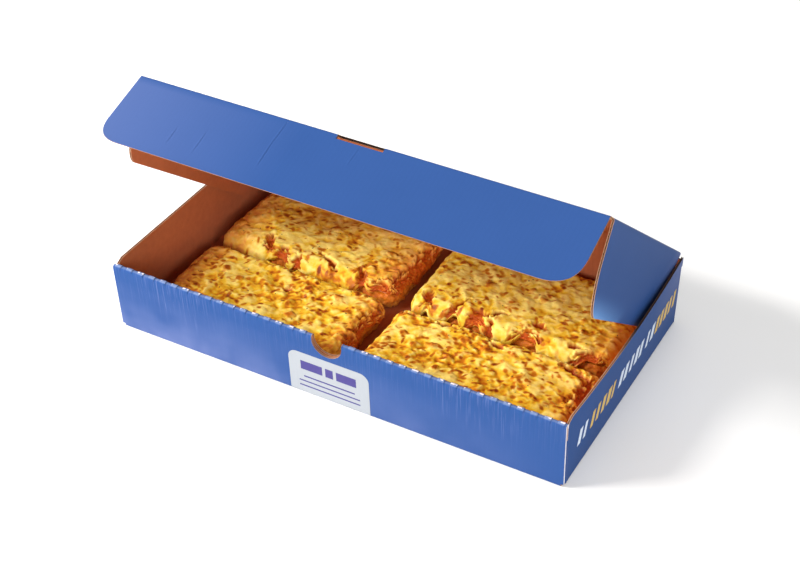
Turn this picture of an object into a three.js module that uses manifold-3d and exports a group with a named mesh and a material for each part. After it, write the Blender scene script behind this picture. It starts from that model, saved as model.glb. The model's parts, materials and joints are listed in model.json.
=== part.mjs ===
// Pizza in its box: a one-piece corrugated box with a hinged lid, open, and four oblong pizza
// slices lying in its tray. Millimetres, +Z up, +X to the right along the long side. The origin is
// the centre of the tray's underside. The front is -Y and the lid is hinged along the back.

import * as THREE from "three";
import { mergeVertices } from "three/addons/utils/BufferGeometryUtils.js";
import Module from "manifold-3d";

// Driving dimensions ---------------------------------------------------------------------------

const BOARD = 1.6; // thickness of the corrugated board
const GAP = 0.3; // air between pieces that touch

const TRAY_LENGTH = 350; // outside, along X
const TRAY_DEPTH = 202.6; // outside, along Y, at the floor
const WALL_HEIGHT = 58.2; // side and back walls
const WALL_CORNER_RADIUS = 2.2; // upright folds of the tray, outside
const FLOOR_EDGE_RADIUS = 1.4; // folds round the floor, outside

const FRONT_CREST_HEIGHT = 57.3; // top of the rolled-over front wall
const FRONT_LEAN = 4.8; // how far its outer panel leans out at the top
const CREST_WIDTH = 4; // the two panels together at the crest
const FRONT_FOOT_WIDTH = 5.6; // the two panels and the space between them at the floor
const SIDE_END_LEAN = 2.4; // how far the front ends of the side walls lean out
const SIDE_END_RADIUS = 6; // rounding of their top front corner
const FRONT_TAB_LENGTH = 60; // tabs of the side walls inside the front wall
const FRONT_TAB_HEIGHT = 42;
const BACK_TAB_LENGTH = 42; // tabs of the side walls glued inside the back wall
const BACK_TAB_HEIGHT = 51;
const BACK_TAB_CHAMFER = 9;
const INNER_PANEL_GAP = 0.5; // between the inner front panel and each side wall

const NOTCH_WIDTH = 23.2; // thumb notch in the front wall
const NOTCH_DEPTH = 15.5;
const PERFORATION_PITCH = 9.5; // cuts along the front crest
const PERFORATION_LENGTH = 4.6;
const PERFORATION_DEPTH = 0.7;

const LID_ANGLE = 38.6; // degrees above shut
const LID_DEPTH = 203.2; // hinge to front fold
const LID_HALF_WIDTH = 172.8;
const HINGE_GAP = 0.4; // lid panel to hinge line
const HINGE_RISE = 0.2; // hinge line above the back wall
const FOLD_GAP = 0.6; // lid panel to the inside of the front flap
const FLAP_HEIGHT = 58.1; // all three flaps, from the top face of the lid
const FRONT_FLAP_FLARE = 32.7; // degrees out from square to the lid
const FRONT_FLAP_HALF_WIDTH = 172.3; // at the fold
const FRONT_FLAP_FAN = 0.7; // wider than that at each end of its free edge
const FRONT_FLAP_RADIUS = 23; // its two lower corners
const SIDE_FLAP_X = 172.8; // outer face at the fold
const SIDE_FLAP_LEAN = 0.8; // degrees inward
const SIDE_FLAP_FRONT_SETBACK = 8; // from the front fold, at the top
const SIDE_FLAP_FRONT_TAPER = 2.8; // further back than that where the corner starts
const SIDE_FLAP_CORNER_SETBACK = 19.5; // from the front fold, at the bottom
const SIDE_FLAP_CORNER_HEIGHT = 8;
const SIDE_FLAP_CORNER_RADII = [4, 3, 8]; // rear, front and upper front
const SIDE_FLAP_REAR_SETBACK = 4.5; // from the hinge, at the top
const SIDE_FLAP_REAR_TAPER = 9.5;
const SLOT_LENGTH = 35; // slot across the front fold
const SLOT_REACH = 3; // into the lid and into the flap

const CRUST_TOP = 12; // heights above the underside of a slice
const SAUCE_TOP = 14.6;
const CHEESE_THICKNESS = 6.4;
const CHEESE_EDGE_THICKNESS = 3.4;
const CHEESE_LIP_THICKNESS = 1.1;
const CHEESE_LUMP = 1.5; // up and down
const RIM_LUMP = 0.3; // the same at the rim, where the sheet bends over
const LUMP_CELL = 13; // sizes of the lumps, of the wider swells and of the drapes
const SWELL_CELL = 41;
const DRAPE_CELL = 17;
const LUMP_SHARE = 0.65; // the rest of the unevenness is swell
const OUTER_SKIN = [0.3, 0.62, 0.88, 1]; // rings of the hanging sheet, as shares of its length
const INNER_SKIN = [1, 0.66, 0.33, 0];
const DRAPE_READ = 20; // how far out the noise is read for the drapes and for the rim
const RIM_READ = 9;
const DRAPE_GAP = 1.1; // hanging cheese to the shoulder under it
const SLICE_CORNER_RADIUS = 10;
const SHOULDER_RADIUS = 7; // round the upper edge, under the cheese
const CRUST_FOOT_INSET = 3.5;
const DRAPE_SHORT = 5; // how far the cheese hangs over the shoulder
const DRAPE_LONG = 14;
const EDGE_WANDER = 0.9; // how far an edge strays from straight
const WANDER_X = [15, 31]; // lengths of that, over 2 pi, along Y and along X
const WANDER_Y = [17, 37];

const GRID_X = 20; // cheese facets along and across a slice
const GRID_Y = 12;
const PAST = 1; // how far a cutting solid reaches past what it cuts

const SLICES = [
  { name: "front_left", x: [-162, -5.3], y: [-91.5, -1.6], height: 1.0, seed: 11 },
  { name: "front_right", x: [0.6, 163.6], y: [-91.8, -1.9], height: 0.97, seed: 23 },
  { name: "rear_left", x: [-161.8, -4.8], y: [1.4, 94.2], height: 1.04, seed: 37 },
  { name: "rear_right", x: [0.8, 162.8], y: [1.2, 94.8], height: 1.02, seed: 53 },
];

const BLUE = new THREE.Color(0x4a74b8);
const CRUST_COLOUR = new THREE.Color(0xc98a4b);
const SAUCE_COLOUR = new THREE.Color(0xb8401c);
const CHEESE_COLOUR = new THREE.Color(0xe6bf62);

// Solids ---------------------------------------------------------------------------------------

const wasm = await Module();
wasm.setup();

/** A closed three.js geometry as a solid that can be joined and cut. */
function toSolid(geometry) {
  const bare = geometry.clone();
  bare.deleteAttribute("normal");
  bare.deleteAttribute("uv");
  const merged = mergeVertices(bare, 1e-5);
  const vertProperties = new Float32Array(merged.attributes.position.array);
  const triVerts = new Uint32Array(merged.index.array);
  return new wasm.Manifold(new wasm.Mesh({ numProp: 3, vertProperties, triVerts }));
}

/** A joined or cut solid as a three.js geometry. */
function toGeometry(solid) {
  const { vertProperties, triVerts } = solid.getMesh();
  const geometry = new THREE.BufferGeometry();
  geometry.setAttribute("position", new THREE.BufferAttribute(new Float32Array(vertProperties), 3));
  geometry.setIndex(new THREE.BufferAttribute(new Uint32Array(triVerts), 1));
  geometry.computeVertexNormals();
  return geometry;
}

const AXES = {
  xy: [new THREE.Vector3(1, 0, 0), new THREE.Vector3(0, 1, 0), new THREE.Vector3(0, 0, 1)],
  yz: [new THREE.Vector3(0, 1, 0), new THREE.Vector3(0, 0, 1), new THREE.Vector3(1, 0, 0)],
  xz: [new THREE.Vector3(1, 0, 0), new THREE.Vector3(0, 0, 1), new THREE.Vector3(0, -1, 0)],
};

/** An outline in the named plane, pushed along the third axis between two places. */
function extrude(shape, plane, from, to, curveSegments = 5) {
  const [across, up, along] = AXES[plane];
  const sign = along.x + along.y + along.z;
  const start = sign > 0 ? from : -to;
  const options = { depth: to - from, bevelEnabled: false, curveSegments };
  const geometry = new THREE.ExtrudeGeometry(shape, options);
  geometry.translate(0, 0, start);
  geometry.applyMatrix4(new THREE.Matrix4().makeBasis(across, up, along));
  return toSolid(geometry);
}

/** A closed outline through points, in order. */
function polygon(points) {
  return new THREE.Shape(points.map(([x, y]) => new THREE.Vector2(x, y)));
}

/** A rectangle between two corners, with one radius at each corner: 00, 10, 11 and 01. */
function rectangle(x0, y0, x1, y1, radii = [0, 0, 0, 0]) {
  const [r00, r10, r11, r01] = radii;
  const shape = new THREE.Shape();
  shape.moveTo(x0 + r00, y0);
  shape.lineTo(x1 - r10, y0);
  if (r10) shape.absarc(x1 - r10, y0 + r10, r10, -Math.PI / 2, 0);
  shape.lineTo(x1, y1 - r11);
  if (r11) shape.absarc(x1 - r11, y1 - r11, r11, 0, Math.PI / 2);
  shape.lineTo(x0 + r01, y1);
  if (r01) shape.absarc(x0 + r01, y1 - r01, r01, Math.PI / 2, Math.PI);
  shape.lineTo(x0, y0 + r00);
  if (r00) shape.absarc(x0 + r00, y0 + r00, r00, Math.PI, 1.5 * Math.PI);
  return shape;
}

/** An outline through points, with a round at each point that states a radius. */
function roundedPolygon(points) {
  const corners = points.map(([x, y, radius = 0]) => ({ at: new THREE.Vector2(x, y), radius }));
  const shape = new THREE.Shape();
  corners.forEach(({ at, radius }, i) => {
    const before = corners[(i + corners.length - 1) % corners.length].at;
    const after = corners[(i + 1) % corners.length].at;
    const back = before.clone().sub(at).normalize();
    const ahead = after.clone().sub(at).normalize();
    const halfAngle = Math.acos(THREE.MathUtils.clamp(back.dot(ahead), -1, 1)) / 2;
    const reach = radius / Math.tan(halfAngle);
    const enter = at.clone().addScaledVector(back, reach);
    const leave = at.clone().addScaledVector(ahead, reach);
    if (i === 0) shape.moveTo(enter.x, enter.y);
    else shape.lineTo(enter.x, enter.y);
    if (radius) shape.quadraticCurveTo(at.x, at.y, leave.x, leave.y);
  });
  shape.closePath();
  return shape;
}

// Tray -----------------------------------------------------------------------------------------

const HALF_LENGTH = TRAY_LENGTH / 2;
const HALF_DEPTH = TRAY_DEPTH / 2;
const CREST_RADIUS = CREST_WIDTH / 2;
const CREST_CENTRE_Z = FRONT_CREST_HEIGHT - CREST_RADIUS;
const CREST_OUTER_Y = -HALF_DEPTH - FRONT_LEAN;
const CREST_INNER_Y = CREST_OUTER_Y + CREST_WIDTH;
const FOOT_INNER_Y = -HALF_DEPTH + FRONT_FOOT_WIDTH;

/** Y of the inside face of the inner front panel at a height. */
function innerFaceY(z) {
  return THREE.MathUtils.mapLinear(z, BOARD, CREST_CENTRE_Z, FOOT_INNER_Y, CREST_INNER_Y);
}

/** The front wall's outer panel with the round crest. */
function frontOuterPanel() {
  const shape = new THREE.Shape();
  shape.moveTo(-HALF_DEPTH, 0);
  shape.lineTo(-HALF_DEPTH + BOARD, 0);
  shape.lineTo(CREST_OUTER_Y + BOARD, CREST_CENTRE_Z - BOARD);
  shape.lineTo(CREST_INNER_Y - BOARD, CREST_CENTRE_Z - BOARD);
  shape.lineTo(CREST_INNER_Y, CREST_CENTRE_Z);
  shape.absarc(CREST_OUTER_Y + CREST_RADIUS, CREST_CENTRE_Z, CREST_RADIUS, 0, Math.PI);
  shape.closePath();
  return extrude(shape, "yz", -HALF_LENGTH, HALF_LENGTH, 4);
}

/** The front wall's inner panel, from the crest down to the floor. */
function frontInnerPanel() {
  const end = HALF_LENGTH - BOARD - INNER_PANEL_GAP;
  const foot = BOARD / 2;
  const shape = polygon([
    [innerFaceY(foot) - BOARD, foot],
    [innerFaceY(foot), foot],
    [CREST_INNER_Y, CREST_CENTRE_Z],
    [CREST_INNER_Y - BOARD, CREST_CENTRE_Z],
  ]);
  return extrude(shape, "yz", -end, end);
}

/** A side wall, standing at one end, with its front tab and its back tab. */
function sideWall(side) {
  const inner = HALF_LENGTH - BOARD;
  const foot = -HALF_DEPTH + BOARD;
  const wall = roundedPolygon([
    [foot, 0],
    [HALF_DEPTH - BOARD / 2, 0],
    [HALF_DEPTH - BOARD / 2, WALL_HEIGHT],
    [foot - SIDE_END_LEAN, WALL_HEIGHT, SIDE_END_RADIUS],
  ]);
  const frontTab = polygon([
    [innerFaceY(BOARD) - 2 * BOARD, BOARD / 2],
    [innerFaceY(BOARD) - BOARD, BOARD / 2],
    [innerFaceY(FRONT_TAB_HEIGHT) - BOARD, FRONT_TAB_HEIGHT],
    [innerFaceY(FRONT_TAB_HEIGHT) - 2 * BOARD, FRONT_TAB_HEIGHT],
  ]);
  const tabEnd = HALF_LENGTH - BACK_TAB_LENGTH;
  const backTab = polygon([
    [inner + BOARD / 2, BOARD / 2],
    [inner + BOARD / 2, BACK_TAB_HEIGHT],
    [tabEnd + BACK_TAB_CHAMFER, BACK_TAB_HEIGHT],
    [tabEnd, BACK_TAB_HEIGHT - BACK_TAB_CHAMFER],
    [tabEnd, BOARD / 2],
  ]);
  const backTabY = HALF_DEPTH - 2 * BOARD;
  const right = extrude(wall, "yz", inner, HALF_LENGTH)
    .add(extrude(frontTab, "yz", HALF_LENGTH - FRONT_TAB_LENGTH, inner + BOARD / 2))
    .add(extrude(backTab, "xz", backTabY, backTabY + 1.5 * BOARD));
  return side > 0 ? right : right.mirror([1, 0, 0]);
}

/** The outer form of the tray, which rounds every fold of the floor and the upright corners. */
function trayEnvelope() {
  const r = FLOOR_EDGE_RADIUS;
  const reach = CREST_OUTER_Y - PAST;
  const top = WALL_HEIGHT + PAST;
  const radii = [0, 0, WALL_CORNER_RADIUS, WALL_CORNER_RADIUS];
  const front = rectangle(-HALF_LENGTH, 0, HALF_LENGTH, top, [r, r, 0, 0]);
  const acrossX = extrude(front, "xz", reach, HALF_DEPTH);
  const section = roundedPolygon([
    [-HALF_DEPTH, 0, r],
    [HALF_DEPTH, 0, r],
    [HALF_DEPTH, top],
    [reach, top],
    [CREST_OUTER_Y, CREST_CENTRE_Z],
  ]);
  const acrossY = extrude(section, "yz", -HALF_LENGTH, HALF_LENGTH);
  const plan = rectangle(-HALF_LENGTH, reach, HALF_LENGTH, HALF_DEPTH, radii);
  const upright = extrude(plan, "xy", 0, top);
  return acrossX.intersect(acrossY).intersect(upright);
}

/** The thumb notch: straight sides and a round bottom, right through the front wall. */
function thumbNotch() {
  const radius = NOTCH_WIDTH / 2;
  const centreZ = FRONT_CREST_HEIGHT - NOTCH_DEPTH + radius;
  const shape = new THREE.Shape();
  shape.moveTo(radius, FRONT_CREST_HEIGHT + PAST);
  shape.lineTo(-radius, FRONT_CREST_HEIGHT + PAST);
  shape.lineTo(-radius, centreZ);
  shape.absarc(0, centreZ, radius, Math.PI, 2 * Math.PI);
  shape.closePath();
  return extrude(shape, "xz", CREST_OUTER_Y - PAST, FOOT_INNER_Y + PAST, 16);
}

/** The row of short cuts along the crest, which lets the board fold over. */
function perforations() {
  const count = Math.floor(TRAY_LENGTH / PERFORATION_PITCH);
  const radius = NOTCH_WIDTH / 2;
  const cut = rectangle(
    CREST_OUTER_Y - PAST,
    FRONT_CREST_HEIGHT - PERFORATION_DEPTH,
    CREST_INNER_Y + PAST,
    FRONT_CREST_HEIGHT + PAST,
  );
  const cuts = [];
  for (let i = 0; i < count; i += 1) {
    const x = (i - (count - 1) / 2) * PERFORATION_PITCH;
    if (Math.abs(x) < radius + PERFORATION_LENGTH) continue;
    cuts.push(extrude(cut, "yz", x - PERFORATION_LENGTH / 2, x + PERFORATION_LENGTH / 2));
  }
  return wasm.Manifold.union(cuts);
}

function trayGeometry() {
  const floor = rectangle(-HALF_LENGTH, -HALF_DEPTH, HALF_LENGTH, HALF_DEPTH);
  const back = rectangle(-HALF_LENGTH, HALF_DEPTH - BOARD, HALF_LENGTH, HALF_DEPTH);
  const tray = extrude(floor, "xy", 0, BOARD)
    .add(extrude(back, "xy", 0, WALL_HEIGHT))
    .add(sideWall(1))
    .add(sideWall(-1))
    .add(frontOuterPanel())
    .add(frontInnerPanel())
    .intersect(trayEnvelope())
    .subtract(thumbNotch())
    .subtract(perforations());
  return toGeometry(tray);
}

// Lid ------------------------------------------------------------------------------------------
// In the lid's own frame the hinge line is the origin, the shut lid runs towards -Y, and its
// underside is at z = 0.

/** The slot across the front fold. It is taken from the lid and, turned down, from the flap. */
function slotCut() {
  const half = SLOT_LENGTH / 2;
  const shape = polygon([
    [-half, -PAST],
    [half, -PAST],
    [half - SLOT_REACH / 3, SLOT_REACH],
    [-half + SLOT_REACH / 3, SLOT_REACH],
  ]);
  return extrude(shape, "xy", -BOARD, 2 * BOARD);
}

function lidGeometry() {
  const frontEdge = -LID_DEPTH + BOARD + FOLD_GAP;
  const panel = extrude(
    rectangle(-LID_HALF_WIDTH, frontEdge, LID_HALF_WIDTH, -HINGE_GAP),
    "xy",
    0,
    BOARD,
  );
  const rounded = extrude(
    rectangle(-LID_HALF_WIDTH, -BOARD, LID_HALF_WIDTH, BOARD, [0, 0, BOARD, BOARD]),
    "xz",
    -LID_DEPTH,
    0,
    4,
  );
  const lid = panel.intersect(rounded).subtract(slotCut().translate([0, -LID_DEPTH + BOARD, 0]));
  return toGeometry(lid);
}

/** The front flap hangs from the fold, with its outer face at y = 0 and the fold at z = 0. */
function frontFlapGeometry() {
  const half = FRONT_FLAP_HALF_WIDTH;
  const low = half + FRONT_FLAP_FAN;
  const shape = roundedPolygon([
    [-half, -GAP],
    [-low, -FLAP_HEIGHT, FRONT_FLAP_RADIUS],
    [low, -FLAP_HEIGHT, FRONT_FLAP_RADIUS],
    [half, -GAP],
  ]);
  const slot = slotCut().rotate([-90, 0, 0]);
  const flap = extrude(shape, "xz", 0, BOARD, 10).subtract(slot);
  return toGeometry(flap);
}

/** A side flap hangs from the lid's edge, with its outer face at x = 0 and the fold at z = 0. */
function sideFlapGeometry(side) {
  const top = -BOARD - GAP;
  const frontEdge = -LID_DEPTH + SIDE_FLAP_FRONT_SETBACK;
  const [rearRadius, frontRadius, upperRadius] = SIDE_FLAP_CORNER_RADII;
  const shape = roundedPolygon([
    [-SIDE_FLAP_REAR_SETBACK, top],
    [-SIDE_FLAP_REAR_SETBACK - SIDE_FLAP_REAR_TAPER, -FLAP_HEIGHT, rearRadius],
    [-LID_DEPTH + SIDE_FLAP_CORNER_SETBACK, -FLAP_HEIGHT, frontRadius],
    [frontEdge + SIDE_FLAP_FRONT_TAPER, -FLAP_HEIGHT + SIDE_FLAP_CORNER_HEIGHT, upperRadius],
    [frontEdge, top],
  ]);
  const from = side > 0 ? -BOARD : 0;
  return toGeometry(extrude(shape, "yz", from, from + BOARD, 4));
}

// Pizza ----------------------------------------------------------------------------------------

/** A seeded source of numbers from 0 to 1. */
function seededRandom(seed) {
  let state = seed;
  return () => {
    state = (state + 0x6d2b79f5) | 0;
    let t = Math.imul(state ^ (state >>> 15), 1 | state);
    t = (t + Math.imul(t ^ (t >>> 7), 61 | t)) ^ t;
    return ((t ^ (t >>> 14)) >>> 0) / 4294967296;
  };
}

/** Smooth seeded noise from -1 to 1 over the plane, with bumps about one cell across. */
function noiseField(random, cell) {
  const size = 32;
  const values = Array.from({ length: size * size }, () => 2 * random() - 1);
  const ease = (t) => t * t * (3 - 2 * t);
  const at = (i, j) => values[(((j % size) + size) % size) * size + (((i % size) + size) % size)];
  return (x, y) => {
    const i = Math.floor(x / cell);
    const j = Math.floor(y / cell);
    const u = ease(x / cell - i);
    const v = ease(y / cell - j);
    const low = THREE.MathUtils.lerp(at(i, j), at(i + 1, j), u);
    const high = THREE.MathUtils.lerp(at(i, j + 1), at(i + 1, j + 1), u);
    return THREE.MathUtils.lerp(low, high, v);
  };
}

/**
 * One slice: the places round its edge, and what is uneven about it. Each place on the edge has a
 * centre and an outward direction, so that a ring at any inset keeps the same number of points.
 */
function sliceForm({ x, y, height, seed }) {
  const random = seededRandom(seed);
  const halfX = (x[1] - x[0]) / 2 - EDGE_WANDER - CHEESE_EDGE_THICKNESS;
  const halfY = (y[1] - y[0]) / 2 - EDGE_WANDER - CHEESE_EDGE_THICKNESS;
  const lumps = noiseField(random, LUMP_CELL);
  const swell = noiseField(random, SWELL_CELL);
  const drape = noiseField(random, DRAPE_CELL);
  const phase = [random(), random(), random(), random()].map((value) => value * 2 * Math.PI);

  /** Rounds the corners of a rectangular grid and keeps its rows. */
  const roundCorner = (px, py) => {
    const cx = THREE.MathUtils.clamp(px, -halfX + SLICE_CORNER_RADIUS, halfX - SLICE_CORNER_RADIUS);
    const cy = THREE.MathUtils.clamp(py, -halfY + SLICE_CORNER_RADIUS, halfY - SLICE_CORNER_RADIUS);
    const dx = px - cx;
    const dy = py - cy;
    const length = Math.hypot(dx, dy);
    const scale = length ? Math.max(Math.abs(dx), Math.abs(dy)) / length : 0;
    return { cx, cy, dx: dx * scale, dy: dy * scale };
  };
  const edge = [];
  const addEdge = (i, j) => {
    const form = roundCorner((2 * i / GRID_X - 1) * halfX, (2 * j / GRID_Y - 1) * halfY);
    const length = Math.hypot(form.dx, form.dy);
    edge.push({ i, j, cx: form.cx, cy: form.cy, ux: form.dx / length, uy: form.dy / length });
  };
  for (let i = 0; i < GRID_X; i += 1) addEdge(i, 0);
  for (let j = 0; j < GRID_Y; j += 1) addEdge(GRID_X, j);
  for (let i = GRID_X; i > 0; i -= 1) addEdge(i, GRID_Y);
  for (let j = GRID_Y; j > 0; j -= 1) addEdge(0, j);

  /** How far an edge strays at a place along it: two waves of the given lengths. */
  const wander = (along, [short, long], first) => {
    const waves = Math.sin(along / short + phase[first]) + Math.sin(along / long + phase[first + 1]);
    return (EDGE_WANDER * waves) / 2;
  };

  /** A place in the slice's own frame, moved to where the uneven slice has it in the tray. */
  const place = (px, py, pz) => [
    (x[0] + x[1]) / 2 + px + wander(py, WANDER_X, 0),
    (y[0] + y[1]) / 2 + py + wander(px, WANDER_Y, 2),
    BOARD + GAP + pz * height,
  ];
  return { edge, halfX, halfY, lumps, swell, drape, roundCorner, place };
}

/** Collects the faces of one layer of a slice. */
class Layer {
  constructor(form) {
    this.form = form;
    this.points = [];
    this.faces = [];
  }

  add(px, py, pz) {
    this.points.push(...this.form.place(px, py, pz));
    return this.points.length / 3 - 1;
  }

  /** A ring of points. profile gives the inset from the edge and the height at each place. */
  ring(profile) {
    return this.form.edge.map((spot) => {
      const { inset, z } = profile(spot);
      const radius = SLICE_CORNER_RADIUS - inset;
      return this.add(spot.cx + spot.ux * radius, spot.cy + spot.uy * radius, z);
    });
  }

  /** Faces between two rings, the first outside and below or, for an inner skin, the other way. */
  join(lower, upper) {
    lower.forEach((a, i) => {
      const next = (i + 1) % lower.length;
      this.faces.push(a, lower[next], upper[next], a, upper[next], upper[i]);
    });
  }

  /** A flat cap over a ring. */
  cap(ring, up) {
    const outline = ring.map((i) => new THREE.Vector2(this.points[3 * i], this.points[3 * i + 1]));
    THREE.ShapeUtils.triangulateShape(outline, []).forEach(([a, b, c]) => {
      this.faces.push(ring[a], ring[up ? b : c], ring[up ? c : b]);
    });
  }

  geometry() {
    const geometry = new THREE.BufferGeometry();
    geometry.setAttribute("position", new THREE.Float32BufferAttribute(this.points, 3));
    geometry.setIndex(this.faces);
    geometry.computeVertexNormals();
    return geometry;
  }
}

/** The slice's shoulder and side under the cheese, a distance along it from the flat top. */
function shoulder(distance) {
  const quarter = (Math.PI / 2) * SHOULDER_RADIUS;
  const angle = Math.min(distance, quarter) / SHOULDER_RADIUS;
  const drop = Math.max(distance - quarter, 0);
  return {
    inset: SHOULDER_RADIUS * (1 - Math.sin(angle)),
    z: SAUCE_TOP - SHOULDER_RADIUS * (1 - Math.cos(angle)) - drop,
    outward: Math.sin(angle),
    upward: Math.cos(angle),
  };
}

/** The inset of the shoulder at a height. */
function shoulderInset(z) {
  const cosine = 1 - (SAUCE_TOP - z) / SHOULDER_RADIUS;
  return SHOULDER_RADIUS * (1 - Math.sqrt(1 - cosine * cosine));
}

function crustGeometry(form) {
  const layer = new Layer(form);
  const heights = [
    { inset: CRUST_FOOT_INSET, z: 0 },
    { inset: CRUST_FOOT_INSET / 4, z: 2 },
    { inset: 0, z: SAUCE_TOP - SHOULDER_RADIUS },
    { inset: shoulderInset(CRUST_TOP - 2), z: CRUST_TOP - 2 },
    { inset: shoulderInset(CRUST_TOP), z: CRUST_TOP },
  ];
  const rings = heights.map((level) => layer.ring(() => level));
  rings.slice(1).forEach((ring, i) => layer.join(rings[i], ring));
  layer.cap(rings[0], false);
  layer.cap(rings[rings.length - 1], true);
  return layer.geometry();
}

function sauceGeometry(form) {
  const layer = new Layer(form);
  const foot = CRUST_TOP + GAP;
  const middle = (foot + SAUCE_TOP) / 2 + GAP;
  const at = (z) => layer.ring(() => ({ inset: shoulderInset(z), z }));
  const rings = [at(foot), at(middle), at(SAUCE_TOP)];
  layer.join(rings[0], rings[1]);
  layer.join(rings[1], rings[2]);
  layer.cap(rings[0], false);
  layer.cap(rings[2], true);
  return layer.geometry();
}

/** Melted cheese: a lumpy sheet over the top that hangs over the shoulder by uneven lengths. */
function cheeseGeometry(form) {
  const layer = new Layer(form);
  const uneven = (px, py) => THREE.MathUtils.lerp(form.swell(px, py), form.lumps(px, py), LUMP_SHARE);
  const outward = (spot, reach) => [spot.cx + reach * spot.ux, spot.cy + reach * spot.uy];
  const hang = (spot) => {
    const share = 0.5 + 0.5 * form.drape(...outward(spot, DRAPE_READ));
    return THREE.MathUtils.lerp(DRAPE_SHORT, DRAPE_LONG, share);
  };
  const skin = (share, thickness) => (spot) => {
    const at = shoulder(share * hang(spot));
    const lump = 1 + RIM_LUMP * uneven(...outward(spot, RIM_READ));
    const air = THREE.MathUtils.lerp(GAP, DRAPE_GAP, Math.min(1, 3 * share));
    const depth = air + thickness * lump;
    return { inset: at.inset - depth * at.outward, z: at.z + depth * at.upward };
  };

  const grid = [];
  for (let j = 0; j <= GRID_Y; j += 1) {
    grid.push([]);
    for (let i = 0; i <= GRID_X; i += 1) {
      const sx = (2 * i) / GRID_X - 1;
      const sy = (2 * j) / GRID_Y - 1;
      const px = sx * (form.halfX - SHOULDER_RADIUS);
      const py = sy * (form.halfY - SHOULDER_RADIUS);
      const { cx, cy, dx, dy } = form.roundCorner(px, py);
      const onEdge = i === 0 || j === 0 || i === GRID_X || j === GRID_Y;
      const fade = 1 - Math.max(Math.abs(sx), Math.abs(sy)) ** 6;
      const thickness = THREE.MathUtils.lerp(CHEESE_EDGE_THICKNESS + 1, CHEESE_THICKNESS, fade);
      const lump = CHEESE_LUMP * uneven(px, py) * (onEdge ? RIM_LUMP : 1);
      const z = SAUCE_TOP + GAP + thickness + lump;
      grid[j].push(layer.add(cx + dx, cy + dy, z));
    }
  }
  for (let j = 0; j < GRID_Y; j += 1) {
    for (let i = 0; i < GRID_X; i += 1) {
      const [a, b, c, d] = [grid[j][i], grid[j][i + 1], grid[j + 1][i + 1], grid[j + 1][i]];
      if ((i + j) % 2) layer.faces.push(a, b, c, a, c, d);
      else layer.faces.push(a, b, d, b, c, d);
    }
  }

  const rim = form.edge.map(({ i, j }) => grid[j][i]);
  const skinThickness = [
    CHEESE_EDGE_THICKNESS + GAP,
    CHEESE_EDGE_THICKNESS,
    (CHEESE_EDGE_THICKNESS + CHEESE_LIP_THICKNESS) / 2,
    CHEESE_LIP_THICKNESS,
  ];
  const outer = OUTER_SKIN.map((share, i) => layer.ring(skin(share, skinThickness[i])));
  const inner = INNER_SKIN.map((share) => layer.ring(skin(share, 0)));
  layer.join(outer[0], rim);
  outer.slice(1).forEach((ring, i) => layer.join(ring, outer[i]));
  layer.join(inner[0], outer[outer.length - 1]);
  inner.slice(1).forEach((ring, i) => layer.join(ring, inner[i]));
  layer.cap(inner[inner.length - 1], false);
  return layer.geometry();
}

// Assembly -------------------------------------------------------------------------------------

function addMesh(parent, name, geometry, color, roughness) {
  const material = new THREE.MeshStandardMaterial({ color, roughness, metalness: 0 });
  const mesh = new THREE.Mesh(geometry, material);
  mesh.name = name;
  parent.add(mesh);
  return mesh;
}

const pizzaBox = new THREE.Group();
addMesh(pizzaBox, "tray", trayGeometry(), BLUE, 0.55);

const lidFrame = new THREE.Group();
lidFrame.position.set(0, HALF_DEPTH, WALL_HEIGHT + HINGE_RISE);
lidFrame.rotation.x = -THREE.MathUtils.degToRad(LID_ANGLE);
pizzaBox.add(lidFrame);
addMesh(lidFrame, "lid", lidGeometry(), BLUE, 0.55);

for (const [name, side] of [["left_flap", -1], ["right_flap", 1]]) {
  const flap = addMesh(lidFrame, name, sideFlapGeometry(side), BLUE, 0.55);
  flap.position.set(side * SIDE_FLAP_X, 0, BOARD);
  flap.rotation.y = side * THREE.MathUtils.degToRad(SIDE_FLAP_LEAN);
}

const frontFlap = addMesh(lidFrame, "front_flap", frontFlapGeometry(), BLUE, 0.55);
frontFlap.position.set(0, -LID_DEPTH, BOARD);
frontFlap.rotation.x = -THREE.MathUtils.degToRad(FRONT_FLAP_FLARE);

for (const slice of SLICES) {
  const form = sliceForm(slice);
  addMesh(pizzaBox, `${slice.name}_crust`, crustGeometry(form), CRUST_COLOUR, 0.85);
  addMesh(pizzaBox, `${slice.name}_sauce`, sauceGeometry(form), SAUCE_COLOUR, 0.4);
  addMesh(pizzaBox, `${slice.name}_cheese`, cheeseGeometry(form), CHEESE_COLOUR, 0.45);
}

export default pizzaBox;
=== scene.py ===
"""An open takeaway box of corrugated board, with four thick slices of pizza lying in its tray.

Sizes are in millimetres in the building functions and become metres when a mesh gets its shape.
The origin is the centre of the tray's underside, +Z is up and the lid is hinged along +Y.
"""

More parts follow.
